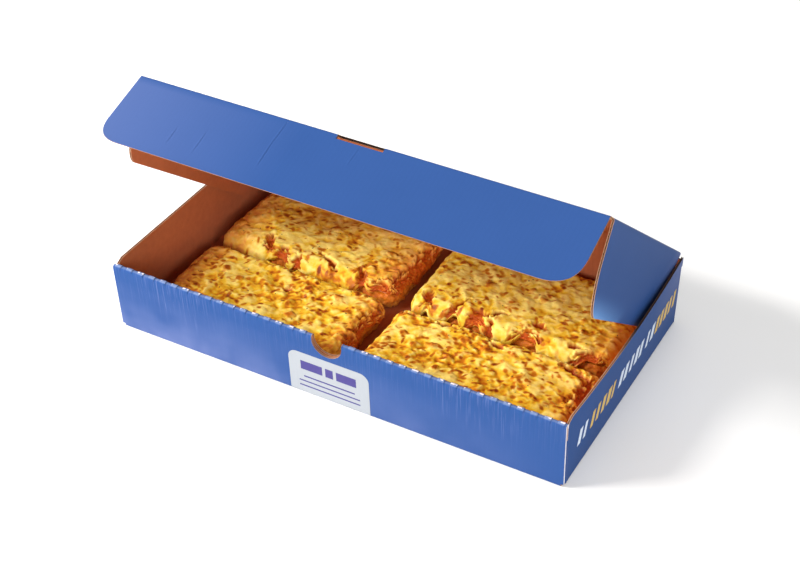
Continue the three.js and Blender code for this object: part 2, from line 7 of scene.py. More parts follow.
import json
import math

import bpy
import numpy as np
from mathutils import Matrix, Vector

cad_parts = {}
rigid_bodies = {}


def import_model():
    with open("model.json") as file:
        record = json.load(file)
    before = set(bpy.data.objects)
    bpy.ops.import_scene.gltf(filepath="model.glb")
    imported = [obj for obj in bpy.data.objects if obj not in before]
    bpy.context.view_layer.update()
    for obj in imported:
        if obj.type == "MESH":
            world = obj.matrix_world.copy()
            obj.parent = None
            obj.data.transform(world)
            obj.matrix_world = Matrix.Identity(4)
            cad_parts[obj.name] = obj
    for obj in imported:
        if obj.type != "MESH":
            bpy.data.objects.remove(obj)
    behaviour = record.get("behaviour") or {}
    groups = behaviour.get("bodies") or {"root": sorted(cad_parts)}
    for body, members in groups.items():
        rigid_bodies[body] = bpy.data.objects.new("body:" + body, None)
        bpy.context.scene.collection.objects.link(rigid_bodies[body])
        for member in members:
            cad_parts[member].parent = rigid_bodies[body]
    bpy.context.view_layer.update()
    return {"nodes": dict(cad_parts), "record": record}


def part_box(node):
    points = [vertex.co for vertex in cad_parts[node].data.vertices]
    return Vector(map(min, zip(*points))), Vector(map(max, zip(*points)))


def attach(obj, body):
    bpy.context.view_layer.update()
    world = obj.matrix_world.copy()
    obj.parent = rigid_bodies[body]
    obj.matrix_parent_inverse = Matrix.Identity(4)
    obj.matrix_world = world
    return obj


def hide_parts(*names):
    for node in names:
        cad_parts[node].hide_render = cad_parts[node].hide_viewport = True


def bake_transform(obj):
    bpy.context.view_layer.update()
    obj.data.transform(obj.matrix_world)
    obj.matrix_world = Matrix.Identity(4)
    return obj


bl_info = {
    "name": "Pizza in Its Box",
    "version": (1, 0, 0),
    "blender": (4, 5, 0),
    "location": "View3D > Sidebar > Pizza Box",
    "description": "Builds an open box of corrugated board with four thick slices of pizza in it",
    "category": "Add Mesh",
}

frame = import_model()

# Places taken from the frame, in millimetres --------------------------------------------------

MM = 0.001


def node_box(node):
    """The lowest and highest corners of a node, in millimetres."""
    low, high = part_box(node)
    return np.array(low) / MM, np.array(high) / MM


def joint(name):
    """The record's entry for a joint."""
    return next(j for j in frame["record"]["behaviour"]["joints"] if j["name"] == name)


TRAY_LOW, TRAY_HIGH = node_box("tray")
HALF_LENGTH = TRAY_HIGH[0]
BACK_Y = TRAY_HIGH[1]
FRONT_Y = -BACK_Y
CREST_Y = TRAY_LOW[1]
WALL_HEIGHT = TRAY_HIGH[2]
HINGE = np.array(joint("lid_hinge")["pos_m"]) / MM
FOLD = np.array(joint("front_flap_fold")["pos_m"]) / MM
FLAP_FLARE = 90 - joint("front_flap_fold")["range_deg"][1]
LID_HALF_WIDTH = node_box("lid")[1][0]

# Half the width of the lid's flat part, between the folds of its side flaps.
PANEL_HALF = LID_HALF_WIDTH - 2.4

# Sizes of the board and its folds, as the CAD solids have them.
BOARD = 1.6
FLUTE_PITCH = 3.5
LID_DEPTH = math.sqrt((HINGE[1] - FOLD[1]) ** 2 + (FOLD[2] - HINGE[2]) ** 2 - BOARD ** 2)
LID_ANGLE = math.atan2(FOLD[2] - HINGE[2], HINGE[1] - FOLD[1]) - math.atan2(BOARD, LID_DEPTH)
FLAP_HEIGHT = 58.1

CREST_HEIGHT = 57.3
CREST_RADIUS = 2.0
FOLD_RADIUS = 2.0
FOOT_INNER_Y = FRONT_Y + 5.6
NOTCH_RADIUS = 11.6
NOTCH_DEPTH = 15.5

# How far each bending crease reaches into the panels beside it, and the lid's slot.
STRIP_IN_WALL = 3.0
STRIP_IN_LID = 4.0
STRIP_IN_FLAP = 2.4
SLOT_HALF = 17.3
SLOT_REACH = 3.0
SLICES = ("front_left", "front_right", "rear_left", "rear_right")

# Settings -------------------------------------------------------------------------------------


def length(name, description, default):
    """A size in millimetres."""
    return bpy.props.FloatProperty(name=name, description=description, default=default, unit="NONE")


def colour(name, description, default):
    """A colour, given as linear red, green and blue."""
    return bpy.props.FloatVectorProperty(
        name=name, description=description, default=default, subtype="COLOR", size=3, min=0, max=1
    )


class BoardSettings(bpy.types.PropertyGroup):
    """Sizes and colours of the corrugated board."""

    liner: length("Liner", "Thickness of each flat paper, in mm", 0.3)
    medium: length("Fluted Paper", "Thickness of the fluted paper, in mm", 0.2)
    pitch: length("Flute Pitch", "Distance between two flutes, in mm", FLUTE_PITCH)
    crinkle: length("Crinkle", "Height of the crinkles below the front crest, in mm", 0.16)
    print_colour: colour("Print", "Blue ink on the outer paper", (0.027, 0.071, 0.224))
    # Rubbed ink, and also the tint of painted light and a painted reflection of the floor on the
    # print.
    print_wear_light: colour("Worn Print", "Ink rubbed or stretched over a fold", (0.25, 0.28, 0.50))
    kraft_colour: colour("Kraft", "Brown inner paper", (0.43, 0.132, 0.055))
    raw_colour: colour("Raw Edge", "Cut edge of the papers", (0.46, 0.27, 0.17))
    torn_colour: colour("Torn Paper", "White paper bared by the crest's cuts", (0.70, 0.67, 0.70))
    flute_colour: colour("Flutes", "Brown paper inside the board", (0.30, 0.155, 0.085))


class PrintSettings(bpy.types.PropertyGroup):
    """Sizes and colours of the plain printed fields."""

    label_width: length("Label Width", "Width of the pale field, in mm", 63.0)
    label_height: length("Label Height", "Height of the pale field, in mm", 38.0)
    label_radius: length("Label Corner", "Radius of its upper corners, in mm", 7.0)
    bar_height: length("Bar Height", "Height of the slanted bars on the side wall, in mm", 13.0)
    label_colour: colour("Label", "Pale field on the front wall", (0.325, 0.35, 0.385))
    label_ink: colour("Label Bars", "Violet ink of the label's bars", (0.055, 0.045, 0.19))
    white: colour("White Bars", "White ink", (0.62, 0.70, 0.82))
    yellow: colour("Yellow Bars", "Yellow ink", (0.62, 0.42, 0.10))


class PizzaSettings(bpy.types.PropertyGroup):
    """Sizes and colours of the slices."""

    flakes: bpy.props.IntProperty(
        name="Flakes", description="Flakes of herbs and pepper on a slice", default=70, min=1
    )
    spacing: length("Mesh Step", "Distance between the points of the cheese, in mm", 0.65)
    blobs: bpy.props.IntProperty(
        name="Blobs", description="Melted pieces of cheese on a slice", default=750, min=1
    )
    shreds: bpy.props.IntProperty(
        name="Shreds", description="Small shreds of cheese on a slice", default=800, min=1
    )
    blob_height: length("Blob Height", "How far a melted piece stands out of the sheet, in mm", 1.5)
    shred_height: length("Shred Height", "How far a shred stands out of the sheet, in mm", 0.95)
    cream: colour("Cream", "Pale melted cheese", (0.85, 0.70, 0.18))
    yellow: colour("Yellow", "Yellow melted cheese", (0.75, 0.50, 0.035))
    golden: colour("Golden", "Cheese between the shreds", (0.66, 0.32, 0.012))
    amber: colour("Amber", "Thin cheese stained by the sauce", (0.48, 0.150, 0.008))
    toasted: colour("Toasted", "Browned spots of the cheese", (0.20, 0.035, 0.006))
    sauce_colour: colour("Sauce", "Tomato sauce", (0.44, 0.072, 0.007))
    pulp: colour("Pulp", "Lighter pulp of the sauce", (0.62, 0.20, 0.04))
    thin_sauce: colour("Thin Sauce", "Cheese and sauce run together", (0.70, 0.25, 0.016))
    # Also the tint of painted shade on the slices' left and rear sides.
    baked_and_shaded_side: colour("Baked Sides", "Cheese of the deeper baked sides", (0.86, 0.31, 0.085))
    crust_colour: colour("Crust", "Baked dough", (0.66, 0.30, 0.055))
    crust_dark: colour("Dark Crust", "Darker patches of the dough", (0.45, 0.14, 0.025))
    stain: colour("Stain", "Sauce soaked into the dough", (0.66, 0.20, 0.010))
    stain_dark: colour("Dark Stain", "Deeper patches of the stain", (0.40, 0.065, 0.005))
    herb_colour: colour("Herbs", "Dried herbs", (0.045, 0.05, 0.015))
    pepper: colour("Pepper", "Ground pepper", (0.02, 0.012, 0.006))


class StageSettings(bpy.types.PropertyGroup):
    """Camera, lights and floor."""

    camera_place: bpy.props.FloatVectorProperty(
        name="Camera", description="Place of the camera", default=(0.44752, -0.83874, 0.74642),
        subtype="TRANSLATION", unit="LENGTH",
    )
    azimuth: bpy.props.FloatProperty(
        name="Azimuth", description="Turn of the view from +Y", default=math.radians(28.1455),
        subtype="ANGLE",
    )
    elevation: bpy.props.FloatProperty(
        name="Elevation", description="How far the view looks down", default=math.radians(36.6745),
        subtype="ANGLE",
    )
    roll: bpy.props.FloatProperty(
        name="Roll", description="Tilt of the picture", default=math.radians(0.6787),
        subtype="ANGLE",
    )
    lens: bpy.props.FloatProperty(
        name="Lens", description="Focal length on a 36 mm wide sensor, in mm", default=74.213
    )
    floor_colour: colour("Floor", "Plain pale floor", (0.86, 0.86, 0.86))


# Mesh tools -----------------------------------------------------------------------------------


def start_piece():
    """Leaves nothing selected before a new primitive is added."""
    if bpy.context.mode != "OBJECT":
        bpy.ops.object.mode_set(mode="OBJECT")
    bpy.ops.object.select_all(action="DESELECT")


def only(piece):
    """Makes a piece the only selected and the active one."""
    start_piece()
    piece.select_set(True)
    bpy.context.view_layer.objects.active = piece


def modify(piece, kind, **values):
    """Adds a modifier with its values and applies it."""
    only(piece)
    modifier = piece.modifiers.new(kind.title(), kind)
    for name, value in values.items():
        setattr(modifier, name, value)
    bpy.ops.object.modifier_apply(modifier=modifier.name)


def points_of(piece):
    """The piece's points as an array."""
    values = np.empty(3 * len(piece.data.vertices))
    piece.data.vertices.foreach_get("co", values)
    return values.reshape(-1, 3)


def place_points(piece, x, y, z):
    """Puts the piece's points at places in millimetres."""
    values = np.column_stack([np.broadcast_to(v, len(piece.data.vertices)) for v in (x, y, z)])
    piece.data.vertices.foreach_set("co", (values * MM).ravel())
    piece.data.update()


def add_grid(name, columns, rows):
    """A grid with a number of faces each way, and the column and row of each of its points."""
    start_piece()
    bpy.ops.mesh.primitive_grid_add(x_subdivisions=columns, y_subdivisions=rows, size=2)
    piece = bpy.context.object
    piece.name = piece.data.name = name
    at = points_of(piece)
    i = np.rint((at[:, 0] + 1) / 2 * columns).astype(int)
    j = np.rint((at[:, 1] + 1) / 2 * rows).astype(int)
    return piece, i, j


def edit(piece, *steps):
    """Runs operators on all of a piece in edit mode."""
    only(piece)
    bpy.ops.object.mode_set(mode="EDIT")
    bpy.ops.mesh.select_all(action="SELECT")
    for step in steps:
        step()
    bpy.ops.object.mode_set(mode="OBJECT")


def choose_rim(piece):
    """Selects the points round the open edge of a sheet and returns their numbers."""
    edit(
        piece,
        lambda: bpy.ops.mesh.select_all(action="DESELECT"),
        bpy.ops.mesh.select_non_manifold,
    )
    chosen = np.empty(len(piece.data.vertices), bool)
    piece.data.vertices.foreach_get("select", chosen)
    return np.flatnonzero(chosen)


def face_out(piece, place, u, v):
    """Turns the piece's faces outwards, judged by the place function at one column and row."""
    outward = np.array(place(u, v, -1.0)) - np.array(place(u, v, 0.0))
    if np.dot(piece.data.polygons[0].normal, outward[:, 0]) < 0:
        edit(piece, bpy.ops.mesh.flip_normals)


def even(value):
    """An edge at one height for every column."""
    return lambda x: value + 0 * x


def join(name, pieces):
    """Joins pieces into the first of them."""
    only(pieces[0])
    for piece in pieces:
        piece.select_set(True)
    bpy.ops.object.join()
    joined = bpy.context.object
    joined.name = joined.data.name = name
    return joined


def smooth(piece, degrees=35):
    """Smooth shading up to an angle."""
    only(piece)
    bpy.ops.object.shade_smooth_by_angle(angle=math.radians(degrees))


def finish_piece(piece, body, material=None, node=None):
    """Gives the piece its body, slot and material, and hides the CAD node that it stands for."""
    if material:
        piece.data.materials.append(material)
    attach(piece, body)
    if node:
        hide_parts(node)


# Board ----------------------------------------------------------------------------------------


class FoldPath:
    """A route through corners with rounded folds: places and inward normals by distance."""

    ARC_STEPS = 6

    def __init__(self, corners, inward):
        places, normals = [], []
        corners = [(np.array(c[:2], float), c[2] if len(c) > 2 else 0.0) for c in corners]
        for i, (at, radius) in enumerate(corners):
            back = None if i == 0 else (at - corners[i - 1][0])
            ahead = None if i == len(corners) - 1 else (corners[i + 1][0] - at)
            directions = [v / np.linalg.norm(v) for v in (back, ahead) if v is not None]
            if not radius:
                for direction in directions:
                    places.append(at)
                    normals.append(inward * np.array([-direction[1], direction[0]]))
                continue
            first, last = directions
            turn = math.atan2(first[0] * last[1] - first[1] * last[0], first @ last)
            reach = radius * math.tan(abs(turn) / 2)
            side = math.copysign(1, turn)
            normal = np.array([-first[1], first[0]])
            centre = at - first * reach + normal * radius * side
            for k in range(self.ARC_STEPS + 1):
                angle = turn * k / self.ARC_STEPS
                sine, cosine = math.sin(angle), math.cos(angle)
                turned = np.array([[cosine, -sine], [sine, cosine]]) @ normal
                places.append(centre - turned * radius * side)
                normals.append(inward * turned)
        self.places = np.array(places)
        self.normals = np.array(normals)
        steps = np.linalg.norm(np.diff(self.places, axis=0), axis=1)
        self.distance = np.concatenate([[0], np.cumsum(np.maximum(steps, 1e-6))])
        self.length = self.distance[-1]

    def at(self, distance, depth):
        """The place at a distance along the outer face, at a depth below it."""
        columns = []
        for axis in range(2):
            place = np.interp(distance, self.distance, self.places[:, axis])
            normal = np.interp(distance, self.distance, self.normals[:, axis])
            columns.append(place + depth * normal)
        return columns

    def stops(self, start, end, step):
        """Distances at which a sheet needs rows between two ends."""
        inner = self.distance[(self.distance > start + 0.01) & (self.distance < end - 0.01)]
        inner = inner[np.concatenate([[True], np.diff(inner) > 0.01])] if len(inner) else inner
        ends = np.concatenate([[start], inner, [end]])
        rows = [ends[:1]]
        for a, b in zip(ends, ends[1:]):
            count = max(1, math.ceil((b - a) / step))
            rows.append(np.linspace(a, b, count + 1)[1:])
        return np.concatenate(rows)


PRINT, RAW, FLUTE, KRAFT, TORN = range(5)


def board(name, columns, rows, place, start=None, end=None, relief=None, rims=(1, 1)):
    """A panel of corrugated board: the printed paper, the fluted paper and the brown paper.

    columns are the places across the flutes and rows the places along them. With start and end,
    rows are shares of the way between those two places of each column. place gives x, y and z
    for a column, a row and a depth below the printed face. rims are the materials of the cut
    edges of the printed paper and of the brown paper.
    """
    settings = bpy.context.scene.box_board
    columns = np.asarray(columns, float)
    rows = np.asarray(rows, float)

    def sheet(part, across, depth, thickness, material, inner, rim, lift=None):
        piece, i, j = add_grid(f"{name}_{part}", len(across) - 1, len(rows) - 1)
        p = across[i]
        q = rows[j]
        if start is not None:
            q = start(p) + (end(p) - start(p)) * q
        level = depth(p) if callable(depth) else depth
        if lift is not None:
            level = level - lift(p, q)
        place_points(piece, *place(p, q, level))
        face_out(piece, place, p[:1], q[:1])
        for layer in board_materials():
            piece.data.materials.append(layer)
        piece.data.polygons.foreach_set("material_index", [material] * len(piece.data.polygons))
        modify(
            piece, "SOLIDIFY", thickness=thickness * MM, offset=0, use_quality_normals=True,
            material_offset=inner - material, material_offset_rim=rim - material,
        )
        return piece

    liner, medium, pitch = settings.liner, settings.medium, settings.pitch
    amplitude = (BOARD - 2 * liner - medium) / 2
    fine = flute_columns(columns, pitch)

    def wave(p):
        return BOARD / 2 + amplitude * np.cos(2 * np.pi * p / pitch)

    pieces = [
        sheet("print", columns, liner / 2, liner, PRINT, FLUTE, rims[0], relief),
        sheet("flutes", fine, wave, medium, FLUTE, FLUTE, FLUTE),
        sheet("kraft", columns, BOARD - liner / 2, liner, FLUTE, KRAFT, rims[1]),
    ]
    return join(name, pieces)


def flute_columns(columns, pitch, parts=6):
    """Places across the flutes at which the fluted paper needs points."""
    low, high = min(columns[0], columns[-1]), max(columns[0], columns[-1])
    step = pitch / parts
    inner = np.arange(math.ceil(low / step + 0.2), math.floor(high / step - 0.2) + 1) * step
    jumps = columns[1:-1][np.diff(columns)[1:] < 0.05] if len(columns) > 2 else columns[:0]
    extra = np.concatenate([jumps, jumps + 0.02]) if len(jumps) else jumps
    values = np.unique(np.concatenate([[low], inner, extra, [high]]))
    return values if columns[0] < columns[-1] else values[::-1]


def side_word(side):
    """The name of the side at negative or positive X."""
    return "left" if side < 0 else "right"


def spread(low, high, step):
    """Evenly spread places from low to high."""
    return np.linspace(low, high, max(1, math.ceil(abs(high - low) / step)) + 1)


def with_jumps(columns, jumps):
    """Columns with a pair of them close together at each jump, where an outline has a step."""
    pairs = np.concatenate([[jump - 0.01, jump + 0.01] for jump in jumps])
    kept = columns[np.min(np.abs(columns[:, None] - np.array(jumps)[None, :]), axis=1) > 0.05]
    return np.sort(np.concatenate([kept, pairs]))


def tray_path():
    """The printed face from the back wall's top, under the floor and over the crest to the foot."""
    return FoldPath(
        [
            (BACK_Y, WALL_HEIGHT),
            (BACK_Y, 0, FOLD_RADIUS),
            (FRONT_Y, 0, FOLD_RADIUS),
            (CREST_Y, CREST_HEIGHT, CREST_RADIUS - 0.08),
            (CREST_Y + 2 * CREST_RADIUS, CREST_HEIGHT, CREST_RADIUS - 0.12),
            (FOOT_INNER_Y, BOARD),
        ],
        inward=-1,
    )


def hash_noise(x, seed):
    """Repeatable numbers from 0 to 1 for whole numbers x."""
    value = np.sin(np.asarray(x, float) * 127.1 + seed * 311.7) * 43758.5453
    return value - np.floor(value)


def value_noise(x, seed):
    """Smooth noise from 0 to 1 along a line, with bumps about 1 long."""
    cell = np.floor(x)
    t = x - cell
    t = t * t * (3 - 2 * t)
    return hash_noise(cell, seed) * (1 - t) + hash_noise(cell + 1, seed) * t


def crinkles(x, below):
    """Fine upright crinkles of the printed paper, a distance below the crest."""
    height = bpy.context.scene.box_board.crinkle
    reach = 14 + 22 * value_noise(x / 9.0, 3)
    fade = np.clip(1 - below / reach, 0, 1) * np.clip(below / 3, 0, 1)
    strength = value_noise(x / 31.0 + 5, 7) ** 2
    ridges = value_noise(x / 0.9, 11) + 0.6 * value_noise(x / 2.1, 13) - 0.8
    return height * ridges * strength * fade


def build_tray_shell():
    """Back wall, floor and outer front wall in one strip, then the crest and the inner panel."""
    path = tray_path()
    crest_top = path.distance[np.argmax(path.places[:, 1] * (path.places[:, 0] < 0))]
    crest_out = crest_top - math.pi / 2 * CREST_RADIUS
    notch_low = crest_out - NOTCH_DEPTH + CREST_RADIUS
    crest_in = crest_top + math.pi / 2 * CREST_RADIUS
    notch_inner_low = crest_in + NOTCH_DEPTH - CREST_RADIUS
    half = HALF_LENGTH - FOLD_RADIUS

    def place(x, s, depth):
        return x, *path.at(s, depth)

    def relief(x, s):
        return crinkles(x, crest_top - s) * (s > path.length / 2)

    back = board(
        "back_wall_and_floor", spread(-half, half, 6),
        path.stops(STRIP_IN_WALL, front_fold(path), 20), place,
    )
    front = board(
        "front_wall", spread(-HALF_LENGTH, HALF_LENGTH, 0.6),
        path.stops(front_fold(path), notch_low, 3), place, relief=relief,
    )
    bare_cuts(front)
    pieces = [back, front]
    for side in (-1, 1):
        ends = sorted([side * NOTCH_RADIUS, side * HALF_LENGTH])
        crest = board(
            f"front_crest_{side_word(side)}", crest_columns(*ends),
            crest_rows(path, notch_low, crest_top, notch_inner_low), crest_place(path, crest_top),
            relief=relief,
        )
        bare_cuts(crest)
        pieces.append(crest)
    curve = NOTCH_RADIUS * np.sin(np.linspace(-np.pi / 2, np.pi / 2, 25))
    pieces.append(board(
        "front_notch_outer", curve, np.linspace(0, 1, 5), place,
        start=even(notch_low), end=lambda x: notch_low + notch_drop(x), relief=relief,
    ))
    pieces.append(board(
        "front_notch_inner", curve, np.linspace(0, 1, 5), place,
        start=lambda x: notch_inner_low - notch_drop(x), end=even(notch_inner_low),
    ))
    inner_half = HALF_LENGTH - BOARD - 0.5
    pieces.append(board(
        "front_inner_panel", spread(-inner_half, inner_half, 6),
        path.stops(notch_inner_low, path.length, 12), place,
    ))
    return pieces


def notch_drop(x):
    """How far the round notch leaves the board above its lowest point."""
    return NOTCH_RADIUS - np.sqrt(np.maximum(NOTCH_RADIUS ** 2 - x ** 2, 0))


def front_fold(path):
    """The distance at which the tray's strip has turned up into the front wall."""
    return path.distance[(path.places[:, 0] < FRONT_Y + 0.5) & (path.places[:, 1] < 4)].max() + 1


# The row of cuts along the crest.
CUT_PITCH = 9.5
CUT_LENGTH = 4.6


def cut_share(x):
    """1 where the crest has been cut through before folding, else 0."""
    phase = (x / CUT_PITCH + 0.5) % 1
    return (np.abs(phase - 0.5) < CUT_LENGTH / CUT_PITCH / 2).astype(float)


def crest_columns(low, high):
    """Columns with a pair at each end of each cut."""
    first = math.ceil(low / CUT_PITCH - 0.5)
    ends = []
    for k in range(first, math.floor(high / CUT_PITCH + 0.5) + 1):
        ends += [k * CUT_PITCH - CUT_LENGTH / 2, k * CUT_PITCH + CUT_LENGTH / 2]
    ends = [e for e in ends if low + 0.5 < e < high - 0.5]
    return with_jumps(spread(low, high, 0.6), ends)


def crest_rows(path, start, top, end):
    """Rows of the crest, closer together over its top."""
    rows = np.concatenate([path.stops(start, end, 3), top + np.linspace(-2.4, 2.4, 9)])
    return np.unique(np.round(rows, 2))


def bare_cuts(crest):
    """Gives the printed faces the bared paper's material where the crest's top is cut."""
    count = len(crest.data.polygons)
    centres, index = np.empty(3 * count), np.empty(count, int)
    crest.data.polygons.foreach_get("center", centres)
    crest.data.polygons.foreach_get("material_index", index)
    centres = centres.reshape(-1, 3) / MM
    ragged = 0.3 * value_noise(centres[:, 0] / 1.6, 31)
    bare = (cut_share(centres[:, 0]) > 0) & (centres[:, 2] > CREST_HEIGHT - 0.16 + ragged)
    index[bare & (index == PRINT)] = TORN
    index[(np.abs(centres[:, 0]) > HALF_LENGTH - 0.02) & (index == RAW)] = TORN
    index[(np.abs(centres[:, 0]) > HALF_LENGTH - 1.9) & (index == FLUTE)] = TORN
    crest.data.polygons.foreach_set("material_index", index)


def crest_place(path, crest_top):
    """Places of the crest, lower where the board is whole and pulled over the fold."""
    def place(x, s, depth):
        near = np.clip(1 - np.abs(s - crest_top) / 3.4, 0, 1) ** 0.5
        return x, *path.at(s, depth + 0.55 * near * (1 - cut_share(x)))
    return place


# Materials ------------------------------------------------------------------------------------


class Nodes:
    """Short ways to add and join the nodes of a tree."""

    def __init__(self, tree):
        self.tree = tree

    def add(self, kind, inputs=None, **values):
        node = self.tree.nodes.new(kind)
        for name, value in values.items():
            setattr(node, name, value)
        for name, value in (inputs or {}).items():
            self.put(node.inputs[name], value)
        return node

    def put(self, socket, value):
        if isinstance(value, bpy.types.NodeSocket):
            self.tree.links.new(value, socket)
        elif isinstance(value, bpy.types.Node):
            self.tree.links.new(value.outputs[0], socket)
        elif hasattr(value, "__len__") and len(value) == 3 and socket.type == "RGBA":
            socket.default_value = (*value, 1)
        else:
            socket.default_value = value

    def math(self, operation, a, b=0.0):
        return self.add("ShaderNodeMath", {0: a, 1: b}, operation=operation).outputs[0]

    def plus(self, a, b):
        return self.math("ADD", a, b)

    def minus(self, a, b):
        return self.math("SUBTRACT", a, b)

    def times(self, a, b):
        return self.math("MULTIPLY", a, b)

    def blend(self, share, a, b, mode="MIX"):
        node = self.add("ShaderNodeMix", data_type="RGBA", blend_type=mode)
        self.put(node.inputs[0], share)
        self.put(node.inputs[6], a)
        self.put(node.inputs[7], b)
        return node.outputs[2]

    def ramp(self, value, low, high):
        """Maps the part of a value between low and high to 0 and 1."""
        inputs = {"Value": value, "From Min": low, "From Max": high}
        return self.add("ShaderNodeMapRange", inputs, clamp=True).outputs[0]

    def coordinates(self, scale=(1, 1, 1)):
        """Object coordinates in millimetres, stretched by scale."""
        place = self.add("ShaderNodeTexCoord").outputs["Object"]
        inputs = {"Vector": place, "Scale": [1000 * s for s in scale]}
        return self.add("ShaderNodeMapping", inputs).outputs[0]

    def xyz(self):
        """X, y and z in millimetres."""
        return self.add("ShaderNodeSeparateXYZ", {0: self.coordinates()}).outputs

    def attribute(self, name):
        """The values that the mesh carries under a name."""
        node = self.add("ShaderNodeAttribute", attribute_name=name, attribute_type="GEOMETRY")
        return node.outputs["Fac"]

    def bump(self, shader, strength, distance, height):
        """Gives a shader fine relief, with its distance in millimetres."""
        relief = {"Strength": strength, "Distance": distance * MM, "Height": height}
        self.put(shader.inputs["Normal"], self.add("ShaderNodeBump", relief))

    def noise(self, vector, scale, detail=2.0, roughness=0.5):
        inputs = {"Vector": vector, "Scale": scale, "Detail": detail, "Roughness": roughness}
        return self.add("ShaderNodeTexNoise", inputs).outputs["Fac"]


def new_group(name, inputs, outputs):
    """A node group with named sockets. Returns its tree, its input node and its output node."""
    tree = bpy.data.node_groups.new(name, "ShaderNodeTree")
    for label, kind, default in inputs:
        socket = tree.interface.new_socket(name=label, in_out="INPUT", socket_type=kind)
        if default is not None:
            socket.default_value = default
    for label, kind in outputs:
        tree.interface.new_socket(name=label, in_out="OUTPUT", socket_type=kind)
    nodes = Nodes(tree)
    return nodes, nodes.add("NodeGroupInput"), nodes.add("NodeGroupOutput")


def paper_grain_group():
    """Cloudy shade, fine fibres and the faint lines of the flutes under a paper."""
    name = "Paper Grain"
    if name in bpy.data.node_groups:
        return bpy.data.node_groups[name]
    nodes, inputs, outputs = new_group(
        name,
        [
            ("Colour", "NodeSocketColor", (0.5, 0.5, 0.5, 1)),
            ("Cloud", "NodeSocketFloat", 0.1),
            ("Fibre", "NodeSocketFloat", 0.1),
            ("Flute Lines", "NodeSocketFloat", 0.1),
        ],
        [("Colour", "NodeSocketColor"), ("Height", "NodeSocketFloat")],
    )
    cloud = nodes.noise(nodes.coordinates(), 0.02, 3)
    fibre = nodes.noise(nodes.coordinates((1, 0.18, 0.18)), 1.1, 3, 0.65)
    across = nodes.xyz()[0]
    wave = nodes.math("SINE", nodes.times(across, 2 * math.pi / FLUTE_PITCH))
    lines = inputs.outputs["Flute Lines"]
    shade = nodes.plus(1.0, nodes.times(nodes.minus(cloud, 0.5), inputs.outputs["Cloud"]))
    shade = nodes.plus(shade, nodes.times(nodes.minus(fibre, 0.5), inputs.outputs["Fibre"]))
    shade = nodes.plus(shade, nodes.times(wave, nodes.times(lines, 0.25)))
    tint = nodes.add("ShaderNodeCombineColor", {0: shade, 1: shade, 2: shade}).outputs[0]
    shaded = nodes.blend(1.0, inputs.outputs["Colour"], tint, "MULTIPLY")
    nodes.put(outputs.inputs["Colour"], shaded)
    relief = nodes.plus(nodes.times(fibre, 0.5), nodes.times(wave, lines))
    nodes.put(outputs.inputs["Height"], relief)
    return nodes.tree


def new_material(name):
    """A material with its shader: returns both and the tree's nodes."""
    material = bpy.data.materials.new(name)
    material.use_nodes = True
    nodes = Nodes(material.node_tree)
    shader = next(n for n in material.node_tree.nodes if n.type == "BSDF_PRINCIPLED")
    return material, nodes, shader


def paper(
    name, tone, cloud, fibre, lines, roughness, bump=0.15, wear_light_tone=None, edges=False, sheen=0.15
):
    """A paper surface, whose cloud, fibre and lines are shares of the paper grain.

    A second tone adds rubbed ink and fine upright crinkles on the front wall, and painted light:
    a painted reflection of the floor on the lower front wall and painted light on the front flap's
    left end and on the right wall's rear top. edges paints shade on the cut edges that lie in a
    gap.
    """
    if name in bpy.data.materials:
        return bpy.data.materials[name]
    material, nodes, shader = new_material(name)
    grain = nodes.add("ShaderNodeGroup", node_tree=paper_grain_group())
    sockets = ("Colour", "Cloud", "Fibre", "Flute Lines")
    for socket, value in zip(sockets, (tone, cloud, fibre, lines)):
        nodes.put(grain.inputs[socket], value)
    tint = grain.outputs["Colour"]
    height = grain.outputs["Height"]
    if wear_light_tone is not None:
        tint, share = print_wear_and_painted_light(nodes, tint, wear_light_tone)
        height = nodes.plus(height, nodes.times(share, 0.8))
    if edges:
        tint = painted_gap_shade(nodes, tint)
    nodes.put(shader.inputs["Base Color"], tint)
    shader.inputs["Roughness"].default_value = roughness
    shader.inputs["Specular IOR Level"].default_value = sheen
    nodes.bump(shader, bump, 0.3, height)
    return material


# Zones of the front wall whose print is crinkled below the crest: middle and half width, in mm.
CRINKLED = ((-122, 34), (112, 32))

# Tints of the print where it is creased or pulled over the crest, a painted highlight on the right
# flap's curled corner, and painted shade on cut edges that lie in a gap.
CREASED_INK = (0.014, 0.075, 0.22)
CREST_INK = (0.30, 0.38, 0.58)
CURL_HIGHLIGHT = (0.15, 0.33, 0.68)
# Painted shade for cut edges that lie in a gap.
GAP_SHADE = (0.02, 0.012, 0.012)


